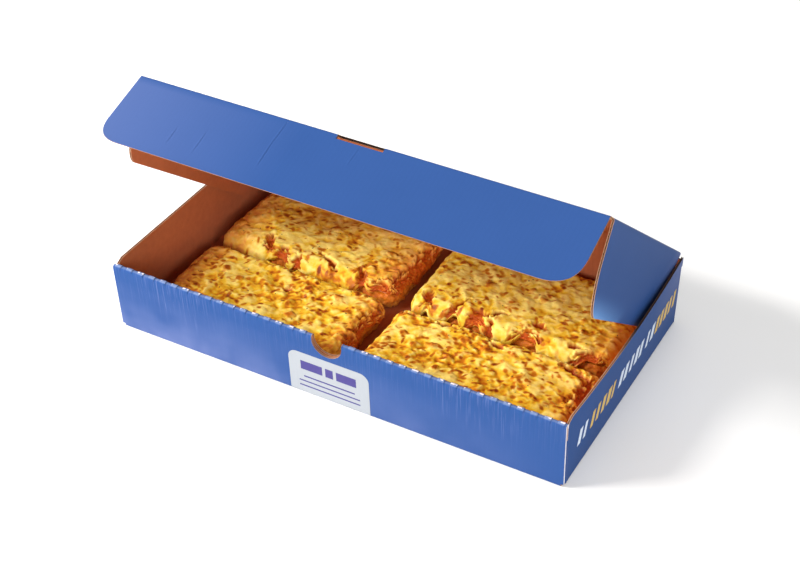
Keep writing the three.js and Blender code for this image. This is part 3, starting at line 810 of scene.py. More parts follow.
def print_wear_and_painted_light(nodes, tint, wear_light_tone):
    """The print's wear and painted light: crinkles below the front crest, a rubbed crest, a painted
    reflection of the floor on the lower front wall, painted light on the front flap's left end and
    the right wall's rear top, and a painted highlight on the right flap's curled corner.
    """
    x, y, z = nodes.xyz()
    front = nodes.times(nodes.ramp(y, -97, -99), nodes.ramp(z, 70, 62))
    zones = 0.35
    for middle, reach in CRINKLED:
        off = nodes.math("ABSOLUTE", nodes.minus(x, middle))
        zones = nodes.math("MAXIMUM", zones, nodes.ramp(off, reach + 12, reach - 12))
    upright = nodes.noise(nodes.coordinates((1, 0.05, 0.03)), 0.75, 4, 0.6)
    ends = nodes.noise(nodes.coordinates((1, 0.3, 0.0)), 0.22, 2)
    upper = nodes.ramp(nodes.plus(z, nodes.times(ends, 46)), 46, 74)
    share = nodes.times(nodes.ramp(upright, 0.52, 0.78), upper)
    share = nodes.times(nodes.times(share, zones), front)
    tint = nodes.blend(nodes.times(share, 0.5), tint, wear_light_tone)
    deep = nodes.times(nodes.ramp(upright, 0.48, 0.25), nodes.times(upper, front))
    tint = nodes.blend(nodes.times(deep, 0.6), tint, CREASED_INK)
    crest = nodes.times(nodes.ramp(z, 56.2, 57.1), front)
    tint = nodes.blend(nodes.times(crest, 0.45), tint, CREST_INK)
    # Painted reflection of the floor: the front wall is paler low down and towards its left.
    low = nodes.times(nodes.ramp(z, 46, 8), nodes.ramp(x, 175, -120))
    cloud = nodes.ramp(nodes.noise(nodes.coordinates(), 0.02, 3), 0.25, 0.7)
    painted_light_share = nodes.times(nodes.times(low, front), nodes.times(cloud, 0.5))
    # Painted light: the front flap is paler towards its left end.
    end = nodes.times(nodes.ramp(y, FOLD[1] + 1, FOLD[1] - 6), nodes.ramp(z, 100, 110))
    end = nodes.times(end, nodes.ramp(x, -40, -170))
    painted_light_share = nodes.plus(painted_light_share, nodes.times(end, 0.16))
    # Painted light: the right wall is paler towards its rear top.
    right = nodes.times(nodes.ramp(x, 171, 173), nodes.ramp(z, 70, 62))
    rear = nodes.times(nodes.ramp(y, 40, 100), nodes.ramp(z, 10, 45))
    painted_light_share = nodes.plus(painted_light_share, nodes.times(nodes.times(right, rear), 0.28))
    tint = nodes.blend(painted_light_share, tint, wear_light_tone)
    # Painted highlight along the right flap's curled corner.
    return nodes.blend(painted_curl_highlight(nodes, x, y, z), tint, CURL_HIGHLIGHT), share


def painted_curl_highlight(nodes, x, y, z):
    """Painted highlight on the lower front corner of the right flap, where it curls."""
    rise, run = nodes.minus(z, HINGE[2]), nodes.minus(y, HINGE[1])
    sine, cosine = math.sin(LID_ANGLE), math.cos(LID_ANGLE)
    down = nodes.plus(nodes.times(run, sine), nodes.times(rise, cosine))
    along = nodes.minus(nodes.times(run, cosine), nodes.times(rise, sine))
    low = nodes.math("POWER", nodes.ramp(down, -42, -61), 2.0)
    share = nodes.times(low, nodes.ramp(along, -85, -165))
    on_flap = nodes.times(nodes.ramp(x, 168, 170), nodes.ramp(z, 76, 84))
    return nodes.times(share, on_flap)


def painted_gap_shade(nodes, tint):
    """Painted shade on raw edges in the lid's slot and along the rear of the right wall, where they
    lie in a gap.
    """
    x, y, z = nodes.xyz()
    within = nodes.ramp(nodes.math("ABSOLUTE", x), SLOT_HALF + 1, SLOT_HALF - 1)
    slot = nodes.times(within, nodes.ramp(z, 170, 175))
    wall = nodes.times(nodes.ramp(x, 171, 172), nodes.ramp(y, -30, 5))
    wall = nodes.times(wall, nodes.ramp(z, 62, 60))
    share = nodes.times(nodes.math("MAXIMUM", slot, wall), 0.9)
    return nodes.blend(share, tint, GAP_SHADE)


def board_materials():
    """Print, raw edge, flutes, kraft and torn paper, in the order of their numbers."""
    s = bpy.context.scene.box_board
    return [
        paper(
            "printed_paper", s.print_colour, 0.10, 0.05, 0.03, 0.42, 0.08, s.print_wear_light, sheen=0.02
        ),
        paper("raw_paper_edge", s.raw_colour, 0.3, 0.6, 0.0, 0.8, 0.3, edges=True),
        paper("fluted_paper", s.flute_colour, 0.2, 0.4, 0.0, 0.85, 0.3, edges=True),
        paper("kraft_paper", s.kraft_colour, 0.22, 0.30, 0.10, 0.78, 0.25),
        paper("torn_paper", s.torn_colour, 0.2, 0.5, 0.0, 0.85, 0.3),
    ]


# Tray -----------------------------------------------------------------------------------------

# The tabs in the front and back corners, the round front corner of the side walls, and how far
# the right wall bows out.
TAB_LENGTH, TAB_HEIGHT = 60, 42
BACK_TAB_LENGTH, BACK_TAB_HEIGHT = 42, 51
WALL_END_RADIUS = 6.0
WALL_BOW = 2.7


def inner_face_y(z):
    """Y of the tray side of the front wall's inner panel at a height."""
    share = (z - BOARD) / (CREST_HEIGHT - CREST_RADIUS - BOARD)
    return FOOT_INNER_Y + share * (CREST_Y + 2 * CREST_RADIUS - FOOT_INNER_Y)


def front_tab_y(z):
    """Y of the outer face of the tabs inside the front wall at a height."""
    return inner_face_y(z) - 2 * BOARD


def bow(side, y, z):
    """How far the right wall bows out between its ends. The left wall is straight."""
    along = np.clip(1 - (y / BACK_Y) ** 2, 0, 1)
    return WALL_BOW * along * np.clip(z / WALL_HEIGHT, 0, 1) if side > 0 else 0 * z


def build_side_wall(side):
    """A side wall with its fold to the floor and the tabs at both its ends."""
    path = FoldPath(
        [
            (side * (HALF_LENGTH - FOLD_RADIUS), 0),
            (side * HALF_LENGTH, 0, FOLD_RADIUS),
            (side * HALF_LENGTH, WALL_HEIGHT),
        ],
        inward=side,
    )

    def front(p):
        z = path.at(p, 0)[1]
        corner = np.clip(z - (WALL_HEIGHT - WALL_END_RADIUS), 0, WALL_END_RADIUS)
        rounding = WALL_END_RADIUS - np.sqrt(WALL_END_RADIUS ** 2 - corner ** 2)
        free = FRONT_Y + BOARD - 2.4 * z / WALL_HEIGHT + rounding
        return np.where(z < TAB_HEIGHT, np.maximum(front_tab_y(z) + 2.3, free), free)

    def rear(p):
        z = path.at(p, 0)[1]
        wall = np.where(z < BACK_TAB_HEIGHT, BACK_Y - 2 * BOARD - 1.1, BACK_Y - BOARD - 0.2)
        return np.where(z < 0.8, BACK_Y - FOLD_RADIUS, wall)

    def place(p, y, depth):
        x, z = path.at(p, depth)
        return x + bow(side, y, z), y, z

    side_name = side_word(side)
    step_up = path.length - WALL_HEIGHT + BACK_TAB_HEIGHT
    across = with_jumps(path.stops(0, path.length, 2.5), [step_up])
    wall = board(
        f"{side_name}_wall", across, np.linspace(0, 1, 25), place, start=front, end=rear
    )

    tab = FoldPath(
        [
            (side * HALF_LENGTH, 2.3),
            (side * HALF_LENGTH, 0, FOLD_RADIUS),
            (side * (HALF_LENGTH - TAB_LENGTH), 0),
        ],
        inward=-side,
    )

    def front_tab_place(z, s, depth):
        x, y = tab.at(s, depth)
        return x, y + front_tab_y(z), z

    front_tab = board(
        f"{side_name}_front_tab", spread(1, TAB_HEIGHT, 4), tab.stops(0, tab.length, 20),
        front_tab_place,
    )
    outer = BACK_Y - BOARD - 0.2
    tab_back = FoldPath(
        [
            (side * HALF_LENGTH, outer - 3),
            (side * HALF_LENGTH, outer, FOLD_RADIUS),
            (side * (HALF_LENGTH - BACK_TAB_LENGTH), outer),
        ],
        inward=side,
    )

    def back_tab_place(z, s, depth):
        return *tab_back.at(s, depth), z

    def back_tab_end(z):
        return tab_back.length - np.maximum(z - (BACK_TAB_HEIGHT - 9), 0)

    fold_end = tab_back.distance[-1] - BACK_TAB_LENGTH + FOLD_RADIUS + 0.5
    back_fold = board(
        f"{side_name}_back_fold", spread(1, BACK_TAB_HEIGHT, 4), tab_back.stops(0, fold_end, 20),
        back_tab_place,
    )
    back_tab = board(
        f"{side_name}_back_tab", spread(1, BACK_TAB_HEIGHT, 3), np.linspace(0, 1, 3),
        back_tab_place, start=even(fold_end), end=back_tab_end,
    )
    return [wall, front_tab, join(f"{side_name}_back_tab", [back_tab, back_fold])]


# Lid ------------------------------------------------------------------------------------------


def from_lid(x, y, z):
    """Places of the lid's own frame: its hinge is the origin and the shut lid runs towards -Y."""
    turned_y = HINGE[1] + y * math.cos(LID_ANGLE) + z * math.sin(LID_ANGLE)
    turned_z = HINGE[2] - y * math.sin(LID_ANGLE) + z * math.cos(LID_ANGLE)
    return x, turned_y, turned_z


def in_slot(x, inside, outside):
    """One value within the slot's width and another beside it."""
    return np.where(np.abs(x) < SLOT_HALF, inside, outside)


def build_lid():
    """The lid's panel, whose front edge leaves room for the slot."""
    columns = with_jumps(spread(-PANEL_HALF, PANEL_HALF, 4), [-SLOT_HALF, SLOT_HALF])
    return board(
        "lid_panel", columns, np.linspace(0, 1, 30),
        lambda x, y, depth: from_lid(x, y, BOARD - depth),
        start=even(-STRIP_IN_LID),
        end=lambda x: in_slot(x, -LID_DEPTH + BOARD + SLOT_REACH, -LID_DEPTH + 2.0),
    )


# How far both side flaps lean inwards, in degrees.
FLAP_LEAN = 0.8

# How much longer the right flap is at its front than at its rear, and how far its corner curls.
RIGHT_FLAP_DROP = 5.0
RIGHT_FLAP_CURL = 1.2

# Front edges of the left and right flaps: set back at the fold, slope, and where and how it bends.
FLAP_FRONTS = {-1: (8, 0.056, 0.042, 44), 1: (9, 0.2, 0.0106, 26)}


def rounded_end(down, radius):
    """How far a flap's edge goes back at the round corner at its lower end."""
    corner = np.clip(down - (FLAP_HEIGHT - radius), 0, radius)
    return radius - np.sqrt(radius ** 2 - corner ** 2)


def build_side_flap(side):
    """A side flap of the lid with the fold that joins it to the lid's panel."""
    lean = math.radians(FLAP_LEAN)
    path = FoldPath(
        [
            (side * PANEL_HALF, BOARD),
            (side * LID_HALF_WIDTH, BOARD, 1.8),
            (side * (LID_HALF_WIDTH - FLAP_HEIGHT * math.sin(lean)), BOARD - FLAP_HEIGHT),
        ],
        inward=-side,
    )
    fold = path.length - FLAP_HEIGHT

    def front(p):
        down = np.maximum(p - fold, 0)
        first, slope, bend, bend_start = FLAP_FRONTS[side]
        setback = first + slope * down + bend * np.maximum(down - bend_start, 0) ** 2
        setback = setback + rounded_end(down, 3)
        opening = np.clip((p - fold + 1.6) / 1.6, 0, 1)
        return -LID_DEPTH + 2 + (setback - 2) * opening

    def rear(p):
        down = np.maximum(p - fold, 0)
        setback = 2 + 2.5 * np.clip(down / 6, 0, 1) + 9.5 * down / FLAP_HEIGHT
        setback = setback + rounded_end(down, 4)
        opening = np.clip((p - fold + 1.6) / 1.6, 0, 1)
        return -STRIP_IN_LID - (setback - STRIP_IN_LID) * opening

    def place(p, y, depth):
        x, z = path.at(p, depth)
        share = (side > 0) * np.clip(-y / LID_DEPTH, 0, 1)
        drop = RIGHT_FLAP_DROP * share * np.clip((p - fold) / FLAP_HEIGHT, 0, 1)
        curl = RIGHT_FLAP_CURL * share ** 3 * np.clip((p - fold - 49) / 9, 0, 1) ** 2
        return from_lid(x + curl, y, z - drop)

    across = np.unique(np.concatenate([
        path.stops(0, path.length - 15, 3), spread(path.length - 15, path.length - 3, 1.5),
        path.length - 3 + 3 * np.sin(np.linspace(0, np.pi / 2, 7)),
    ]))
    return board(
        f"{side_word(side)}_side_flap", across, np.linspace(0, 1, 30), place, start=front, end=rear
    )


FLAP_HALF_WIDTH = 172.3
FLAP_FAN = 0.7
FLAP_RADIUS = 23.0
FLAP_LEFT_RADIUS = 17.5
FLAP_SLOT_REACH = 3.7

# Faint creases of the front flap: x, first and last distance from the fold, and height.
CREASES = ((-123, 31, 48, 0.17), (-102, 27, 49, 0.14), (-55.4, 1, 44, 0.16), (0.4, 3, 24, 0.10))


def flap_place(x, down, depth):
    """Places of the front flap: down from its fold, and in from its printed face."""
    flare = math.radians(FLAP_FLARE)
    y = -LID_DEPTH - down * math.sin(flare) + depth * math.cos(flare)
    z = BOARD - down * math.cos(flare) - depth * math.sin(flare)
    wide = x * (1 + FLAP_FAN / FLAP_HALF_WIDTH * down / FLAP_HEIGHT)
    return from_lid(wide, y, z)


def build_front_flap():
    """The lid's front flap with its two large round corners and its half of the slot."""
    def end(x):
        radius = np.where(x < 0, FLAP_LEFT_RADIUS, FLAP_RADIUS)
        beyond = np.clip((FLAP_HALF_WIDTH - np.abs(x)) / radius, 0, 1)
        return FLAP_HEIGHT - radius * (1 - np.sqrt(beyond)) ** 2

    corner = FLAP_HALF_WIDTH - FLAP_RADIUS * np.linspace(0, 1, 15) ** 2
    near = [spread(at - 2.5, at + 2.5, 0.35) for at, *_ in CREASES]
    columns = np.concatenate([corner, -corner, spread(-corner[-1], corner[-1], 4), *near])
    columns = np.unique(np.round(columns, 3))
    columns = with_jumps(columns, [-SLOT_HALF, SLOT_HALF])
    rows = np.concatenate([np.linspace(0, 0.96, 28), [0.975, 0.985, 0.993, 1.0]])

    def place(x, down, depth):
        crushed = 1 - 0.72 * np.exp(-np.maximum(end(x) - down, 0) / 1.0)
        return flap_place(x, down, depth * crushed)

    return board(
        "front_flap_panel", columns, rows, place,
        start=lambda x: in_slot(x, FLAP_SLOT_REACH, STRIP_IN_FLAP), end=end, relief=flap_creases,
        rims=(PRINT, FLUTE),
    )


def flap_creases(x, down):
    """Height of the faint creases of the front flap."""
    total = 0 * x
    for at, low, high, height in CREASES:
        off = (x - at - 0.25 * np.sin(down / 5)) / 0.55
        ends = np.clip((down - low) / 6, 0, 1) * np.clip((high - down) / 6, 0, 1)
        total = total + height * ends * (np.exp(-off ** 2) - 0.7 * np.exp(-(off - 1.8) ** 2))
    return total


def build_hinge_strip():
    """The crease between the back wall and the lid."""
    far = np.array(from_lid(0, -STRIP_IN_LID, BOARD)[1:])
    near = np.array([BACK_Y, WALL_HEIGHT - STRIP_IN_WALL])
    rise = (far[0] - BACK_Y) * math.tan(LID_ANGLE)
    path = FoldPath([tuple(near), (BACK_Y, far[1] + rise, 4.5), tuple(far)], inward=1)
    strip = board(
        "hinge_crease", spread(-PANEL_HALF, PANEL_HALF, 6), path.stops(0, path.length, 1.0),
        lambda x, s, depth: (x, *path.at(s, depth)),
    )
    return strip, near, far


def build_fold_strips():
    """The crease between the lid and its front flap, left and right of the slot."""
    flare = math.radians(FLAP_FLARE)
    path = FoldPath(
        [
            (-LID_DEPTH + 2, BOARD),
            (-LID_DEPTH, BOARD, 1.6),
            (-LID_DEPTH - STRIP_IN_FLAP * math.sin(flare), BOARD - STRIP_IN_FLAP * math.cos(flare)),
        ],
        inward=1,
    )
    strips = []
    for side in (-1, 1):
        ends = sorted([side * SLOT_HALF, side * FLAP_HALF_WIDTH])
        strips.append(board(
            f"flap_crease_{side_word(side)}", spread(*ends, 6), path.stops(0, path.length, 1.0),
            lambda x, s, depth: from_lid(x, *path.at(s, depth)),
        ))
    return strips


# Print ----------------------------------------------------------------------------------------


def printed_field(name, columns, low, high, place, material, rows=2):
    """A thin field of ink between two heights of each column."""
    columns = np.asarray(columns, float)
    piece, i, j = add_grid(name, len(columns) - 1, rows)
    u = columns[i]
    v = low(u) + (high(u) - low(u)) * j / rows
    place_points(piece, *place(u, v, -0.06))
    face_out(piece, place, columns[:1], low(columns[:1]))
    modify(piece, "SOLIDIFY", thickness=0.05 * MM, offset=0)
    finish_piece(piece, "tray", material)


# Bars of the label: left, right, low and high, in mm from its middle and from the floor.
LABEL_BARS = (
    (-22, -5, 22.8, 30.6), (-2.5, 3.5, 22.8, 30.6), (6, 21.5, 22.8, 30.6),
    (-20, 20, 15.9, 17.1), (-24, 24, 11.3, 12.4), (-24, 24, 6.8, 7.9),
)

# Groups of slanted bars on the right wall: first y, number of bars and ink.
BAR_GROUPS = (
    (-84, 2, "white"), (-64, 5, "yellow"), (-17, 2, "white"), (2, 3, "white"), (32, 2, "white"),
    (50, 5, "yellow"),
)

# Height of their feet, distance between two of them, and how far they slant for each mm up.
BAR_LOW, BAR_PITCH, BAR_SLANT = 22.5, 8.6, 0.22


def build_label():
    """The pale field on the front wall, with plain bars where a label has its text."""
    s = bpy.context.scene.box_print
    path = tray_path()
    base = front_fold(path)
    start_z = path.at(base, 0)[1]
    half, radius = s.label_width / 2, s.label_radius

    def place(x, z, depth):
        return x, *path.at(base + (z - start_z) * 1.0035, depth)

    def above(x, z, depth):
        return place(x, z, depth - 0.06)

    def top(x):
        corner = np.clip(np.abs(x) - (half - radius), 0, radius)
        return s.label_height - radius + np.sqrt(radius ** 2 - corner ** 2)

    pale = paper("label_paper", s.label_colour, 0.06, 0.06, 0.02, 0.45, 0.06)
    ink = paper("label_ink", s.label_ink, 0.1, 0.15, 0.0, 0.45, 0.05)
    corner = half - radius + radius * np.sin(np.linspace(0, np.pi / 2, 9))
    columns = np.unique(np.concatenate([corner, -corner, [0]]))
    printed_field("label_field", columns, even(start_z - 2.6), top, place, pale, rows=40)
    for number, (left, right, low, high) in enumerate(LABEL_BARS, 1):
        printed_field(f"label_bar_{number}", [left, right], even(low), even(high), above, ink)


def build_wall_bars():
    """Slanted bars in groups along the right wall, in the two inks of the print."""
    s = bpy.context.scene.box_print
    inks = {
        name: paper(f"{name}_ink", tone, 0.06, 0.1, 0.0, 0.45, 0.05)
        for name, tone in (("white", s.white), ("yellow", s.yellow))
    }

    def place(y, z, depth):
        slanted = y + BAR_SLANT * (z - BAR_LOW)
        return HALF_LENGTH + bow(1, slanted, z) - depth, slanted, z

    low, high = even(BAR_LOW), even(BAR_LOW + s.bar_height)
    number = 0
    for first, count, ink in BAR_GROUPS:
        for k in range(count):
            number += 1
            left = first + k * BAR_PITCH
            ends = [left, left + 3.4 + 2.6 * hash_noise(number, 4)]
            printed_field(f"wall_bar_{number:02d}", ends, low, high, place, inks[ink], rows=4)


# Pizza ----------------------------------------------------------------------------------------

# The slice's own form: the round of its upper edge, its corners seen from above, the gap
# between two of its layers, the heights of its crust and of its sauce, and how far the lumps of
# the cheese stand out.
SHOULDER = 7.0
SHOULDER_ARC = math.pi / 2 * SHOULDER
CORNER = 10.0
AIR = 0.3
CRUST_HEIGHT = 12.0
SAUCE_TOP = 14.6
LUMP_HEIGHT = 1.4
SLICE_FLOOR = BOARD + AIR

# The longest hang of the cheese over the shoulder, and the part of its flat sheet that hangs.
LONGEST_HANG = 15.5
SHEET_REACH = 24.0

# Shares of the hang at which the cheese's underside has its rings of points.
RINGS = (0.995, 0.6, 0.0)

# The shares that the cheese's mesh carries for its material.
CHEESE_FIELDS = ("tone", "brown", "bare", "toasted")

# Length of each part of a melted stroke, and the number of small browned spots on a slice.
STROKE_STEP = 2.4
SPOTS = 330


def lattice_noise(a, b, cell, rng, size=64):
    """Smooth noise from -1 to 1 over a plane, with bumps about one cell across."""
    values = rng.uniform(-1, 1, (size, size))
    u, v = a / cell, b / cell
    i, j = np.floor(u).astype(int), np.floor(v).astype(int)
    fu, fv = u - i, v - j
    fu, fv = fu * fu * (3 - 2 * fu), fv * fv * (3 - 2 * fv)

    def row(dj):
        across = (j + dj) % size
        return values[i % size, across] * (1 - fu) + values[(i + 1) % size, across] * fu

    return row(0) * (1 - fv) + row(1) * fv


class SliceForm:
    """The oblong form of a slice, measured on its CAD solids, and its own random numbers.

    height is a factor for the slice's heights, and cheese_top is the cheese's height before it.
    """

    def __init__(self, name, seed):
        self.name = name
        self.rng = np.random.default_rng(seed)
        crust_low, crust_high = node_box(f"{name}_crust")
        cheese_high = node_box(f"{name}_cheese")[1]
        self.centre = (crust_low + crust_high) / 2
        self.half = (crust_high - crust_low)[:2] / 2
        self.height = (crust_high[2] - crust_low[2]) / CRUST_HEIGHT
        self.cheese_top = (cheese_high[2] - SLICE_FLOOR) / self.height - LUMP_HEIGHT


# Places along the front edge where the cheese hangs lower or higher: x, half width, change.
DRAPES = {
    "rear_left": (
        (-127, 7, 4), (-106, 6, -5), (-86, 8, 4), (-70, 10, 3), (-52, 8, 4), (-36, 5, -6),
        (-18, 9, -5),
    ),
    "rear_right": (
        (11, 5, 5), (17, 4, -6), (28, 7, 5), (41, 4, -6), (57, 6, -7), (80, 7, 4), (97, 8, -7),
        (121, 8, 4), (148, 10, -7),
    ),
}

# Browned bubbles that stand out on each slice: x, y and radius.
BUBBLES = {
    "front_left": (
        (-77, -30, 4.2), (-64, -23, 4), (-40, -22, 4), (-115, -38, 4), (-130, -32, 4),
        (-60, -57, 4), (-98, -52, 3),
    ),
    "front_right": (
        (62, -21, 4), (79, -22, 4), (100, -20, 3), (20, -35, 3.5), (44, -37, 4), (33, -43, 4),
        (60, -43, 4), (112, -40, 4.5), (57, -58, 3.5),
    ),
    "rear_left": (
        (-84, 51, 4), (-71, 50, 3.5), (-32, 44, 4), (-26, 36, 3.5), (-152, 24, 4), (-93, 0, 3.5),
    ),
    "rear_right": (
        (50, 46, 4), (99, 20, 4.5), (22, 60, 3.5), (92, 47, 4), (80, 55, 3.5), (148, 48, 3.5),
        (127, 39, 3.5), (132, 28, 3.5),
    ),
}

# Hollows where the sauce shows through: x, y, half length, half width and turn in degrees.
HOLLOWS = {
    "front_left": (
        (-135, -7, 9, 2.4, 0), (-92, -8, 7, 2, -20), (-78, -30, 4, 3, 0), (-9, -40, 5, 26, 0),
        (-6, -14, 5, 8, 0),
    ),
    "front_right": (
        (144, -15, 10, 3, -15), (157, -32, 5, 14, -8), (84, -14, 6, 2, -10), (18, -12, 8, 1.6, 0),
        (44, -12, 9, 1.8, 4),
    ),
    "rear_left": (
        (-121, 16, 4, 6, 25), (-105, 8, 5, 4, 0), (-92, 6, 3, 6, 10), (-69, 15, 9, 2, -28),
        (-37, 8, 2.5, 8, 35), (-20, 7, 8, 4, -10), (-9, 45, 5, 34, 0), (-11, 20, 5, 12, 0),
    ),
    "rear_right": (
        (16, 13, 3.5, 5, 10), (39, 12, 2, 9, -25), (57, 10, 6, 5, 0), (70, 18, 5, 2, 30),
        (70, 5, 2, 7, 20), (97, 6, 9, 4.5, -5), (146, 6, 9, 5, -5), (99, 20, 5, 3, -40),
        (133, 12, 4, 2, 0),
    ),
}

# Sides that are baked deeper, partly painted shade where the left wall and the lid shadow the
# slices: direction, reach from the edge, strength, and how red it turns.
BAKED_AND_SHADED_SIDES = {
    "front_left": (((-1, 0), 30, 0.85, 1), ((1, 0), 16, 0.6, 1)),
    "front_right": (((1, 0), 16, 0.45, 1), ((-1, 0), 8, 0.2, 1)),
    "rear_left": (((-1, 0), 36, 0.85, 1), ((0, 1), 60, 0.8, 0.75), ((1, 0), 34, 0.75, 1)),
    "rear_right": (((0, 1), 50, 0.2, 0.1), ((1, 0), 22, 0.5, 1), ((-1, 0), 8, 0.2, 1)),
}

# How much paler each slice is than even golden cheese. This is partly painted light: the rear
# slices are painted paler for the light that reaches them under the lid.
PALENESS_AND_LIGHT = {"front_left": 0.0, "front_right": 0.1, "rear_left": 0.38, "rear_right": 0.55}


def drape_length(form, x, y):
    """How far the cheese hangs over the shoulder at a place on the slice's edge."""
    amount = 8.2 + 5.0 * value_noise((x - 0.7 * y + 600) / 13 + form.centre[1], 5)
    amount = amount + 5.0 * (value_noise((x - y + 600) / 8.0, 21) - 0.5)
    amount = amount + 2.4 * (value_noise((x + y + 600) / 4.3, 23) - 0.5)
    front = y < form.centre[1] - form.half[1] + CORNER
    for at, width, change in DRAPES.get(form.name, ()):
        amount = amount + np.where(front, change * np.exp(-((x - at) / width) ** 2), 0)
    return np.clip(amount, 4.5, LONGEST_HANG)


def soften(field, steps, radius):
    """A field blurred over a radius, with the field's own steps, all in millimetres."""
    for axis, step in enumerate(steps):
        reach = max(1, int(round(2.5 * radius / step)))
        weights = np.exp(-0.5 * (np.arange(-reach, reach + 1) * step / radius) ** 2)
        weights /= weights.sum()
        margins = [(reach, reach) if k == axis else (0, 0) for k in range(2)]
        padded = np.pad(field, margins, mode="edge")
        size = field.shape[axis]
        total = 0
        for k, weight in enumerate(weights):
            part = padded[k:k + size] if axis == 0 else padded[:, k:k + size]
            total = total + weight * part
        field = total
    return field


def strokes(a, b, line_a, line_b, rng, count, half_widths, rises, most):
    """Melted strokes over the sheet: the highest of them at each point, and its shade.

    half_widths and rises are the ranges of their sizes. A stroke has fewer parts than most.
    """
    height = np.zeros(a.shape)
    shade = np.zeros(a.shape)
    reach = np.array([line_a[-1], line_b[-1]])
    margin = 2.5
    for _ in range(count):
        at = rng.uniform(-reach, reach)
        heading = rng.normal(0, 0.75)
        width = rng.uniform(*half_widths)
        rise = rng.uniform(*rises)
        tone = rng.uniform(0, 1)
        bend = rng.normal(0, 0.35)
        for _ in range(rng.integers(1, most)):
            ahead = at + STROKE_STEP * np.array([np.cos(heading), np.sin(heading)])
            low = np.minimum(at, ahead) - width - margin
            high = np.maximum(at, ahead) + width + margin
            rows = slice(*np.searchsorted(line_a, [low[0], high[0]]))
            columns = slice(*np.searchsorted(line_b, [low[1], high[1]]))
            pa, pb = a[rows, columns], b[rows, columns]
            if pa.size:
                way = ahead - at
                share = np.clip(((pa - at[0]) * way[0] + (pb - at[1]) * way[1]) / (way @ way), 0, 1)
                gap = np.hypot(pa - at[0] - share * way[0], pb - at[1] - share * way[1]) / width
                lift = rise * np.clip(1 - gap ** 2, 0, 1) ** 0.7
                over = lift > height[rows, columns]
                height[rows, columns][over] = lift[over]
                shade[rows, columns][over] = tone
            at = ahead
            heading += bend
    return height, shade


def spot(x, y, at, radii, turn, wobble):
    """A ragged oval mask: 1 at its middle, 0 at its edge and beyond."""
    dx, dy = x - at[0], y - at[1]
    u = (dx * math.cos(turn) + dy * math.sin(turn)) / radii[0]
    v = (-dx * math.sin(turn) + dy * math.cos(turn)) / radii[1]
    gap = np.hypot(u, v) + 0.3 * wobble
    return np.clip(1 - gap ** 2, 0, 1)


def hollow_shares(form, x, y, wobble):
    """How bare the sauce lies at each place, by the slice's hollows."""
    bare = np.zeros(x.shape)
    for at_x, at_y, long, wide, turn in HOLLOWS[form.name]:
        radii = 1.25 * long, 1.25 * wide
        mask = spot(x, y, (at_x, at_y), radii, math.radians(turn), 1.3 * wobble)
        bare = np.maximum(bare, np.clip(1.7 * mask, 0, 1))
    return bare


def raise_bubbles(form, relief, x, y, wobble):
    """The relief with the slice's large bubbles raised, and how brown they make each place."""
    rng = form.rng
    brown = np.zeros(x.shape)
    for at_x, at_y, radius in BUBBLES[form.name]:
        radii = radius * rng.uniform(0.8, 1.3), radius * rng.uniform(0.7, 1.0)
        turn = rng.normal(0, 0.6)
        dome = spot(x, y, (at_x, at_y), radii, turn, wobble)
        relief = relief + 0.34 * radius * np.sqrt(dome)
        brown = np.maximum(brown, 0.45 * np.sqrt(dome))
        at = (at_x + 0.25 * radius * rng.normal(), at_y + 0.25 * radius * rng.normal())
        core = spot(x, y, at, (0.75 * radii[0], 0.55 * radii[1]), turn, 2 * wobble)
        brown = np.maximum(brown, rng.uniform(0.7, 1.1) * core)
    return relief, brown


def add_spots(form, brown, ridge, patches, x, y, wobble):
    """Adds the small browned spots, which are weaker on ridges and on pale patches."""
    rng = form.rng
    low = form.centre[:2] - form.half
    where = np.clip(0.95 - 0.5 * ridge, 0.05, 1) * np.clip(1.0 - 0.5 * patches, 0.5, 1)
    for _ in range(SPOTS):
        at = rng.uniform(low, low + 2 * form.half)
        radii = rng.uniform(1.3, 4.4), rng.uniform(1.0, 2.2)
        mask = spot(x, y, at, radii, rng.normal(0, 0.7), wobble)
        brown = np.maximum(brown, 1.15 * mask * rng.uniform(0.4, 1.15) * where)
    return brown


def baked_and_shaded_shares(form, x, y, wobble):
    """How red and how dark the slice's deeper baked sides make each place, partly painted shade."""
    toasted, deep = np.zeros(x.shape), np.zeros(x.shape)
    for (dx, dy), reach, amount, red in BAKED_AND_SHADED_SIDES[form.name]:
        off = dx * (x - form.centre[0]) + dy * (y - form.centre[1])
        side = abs(dx) * form.half[0] + abs(dy) * form.half[1]
        share = np.clip((off + 0.25 * reach * wobble - side + reach) / reach, 0, 1)
        toasted = np.maximum(toasted, amount * share * red)
        deep = np.maximum(deep, 0.28 * amount * share)
    return toasted, deep


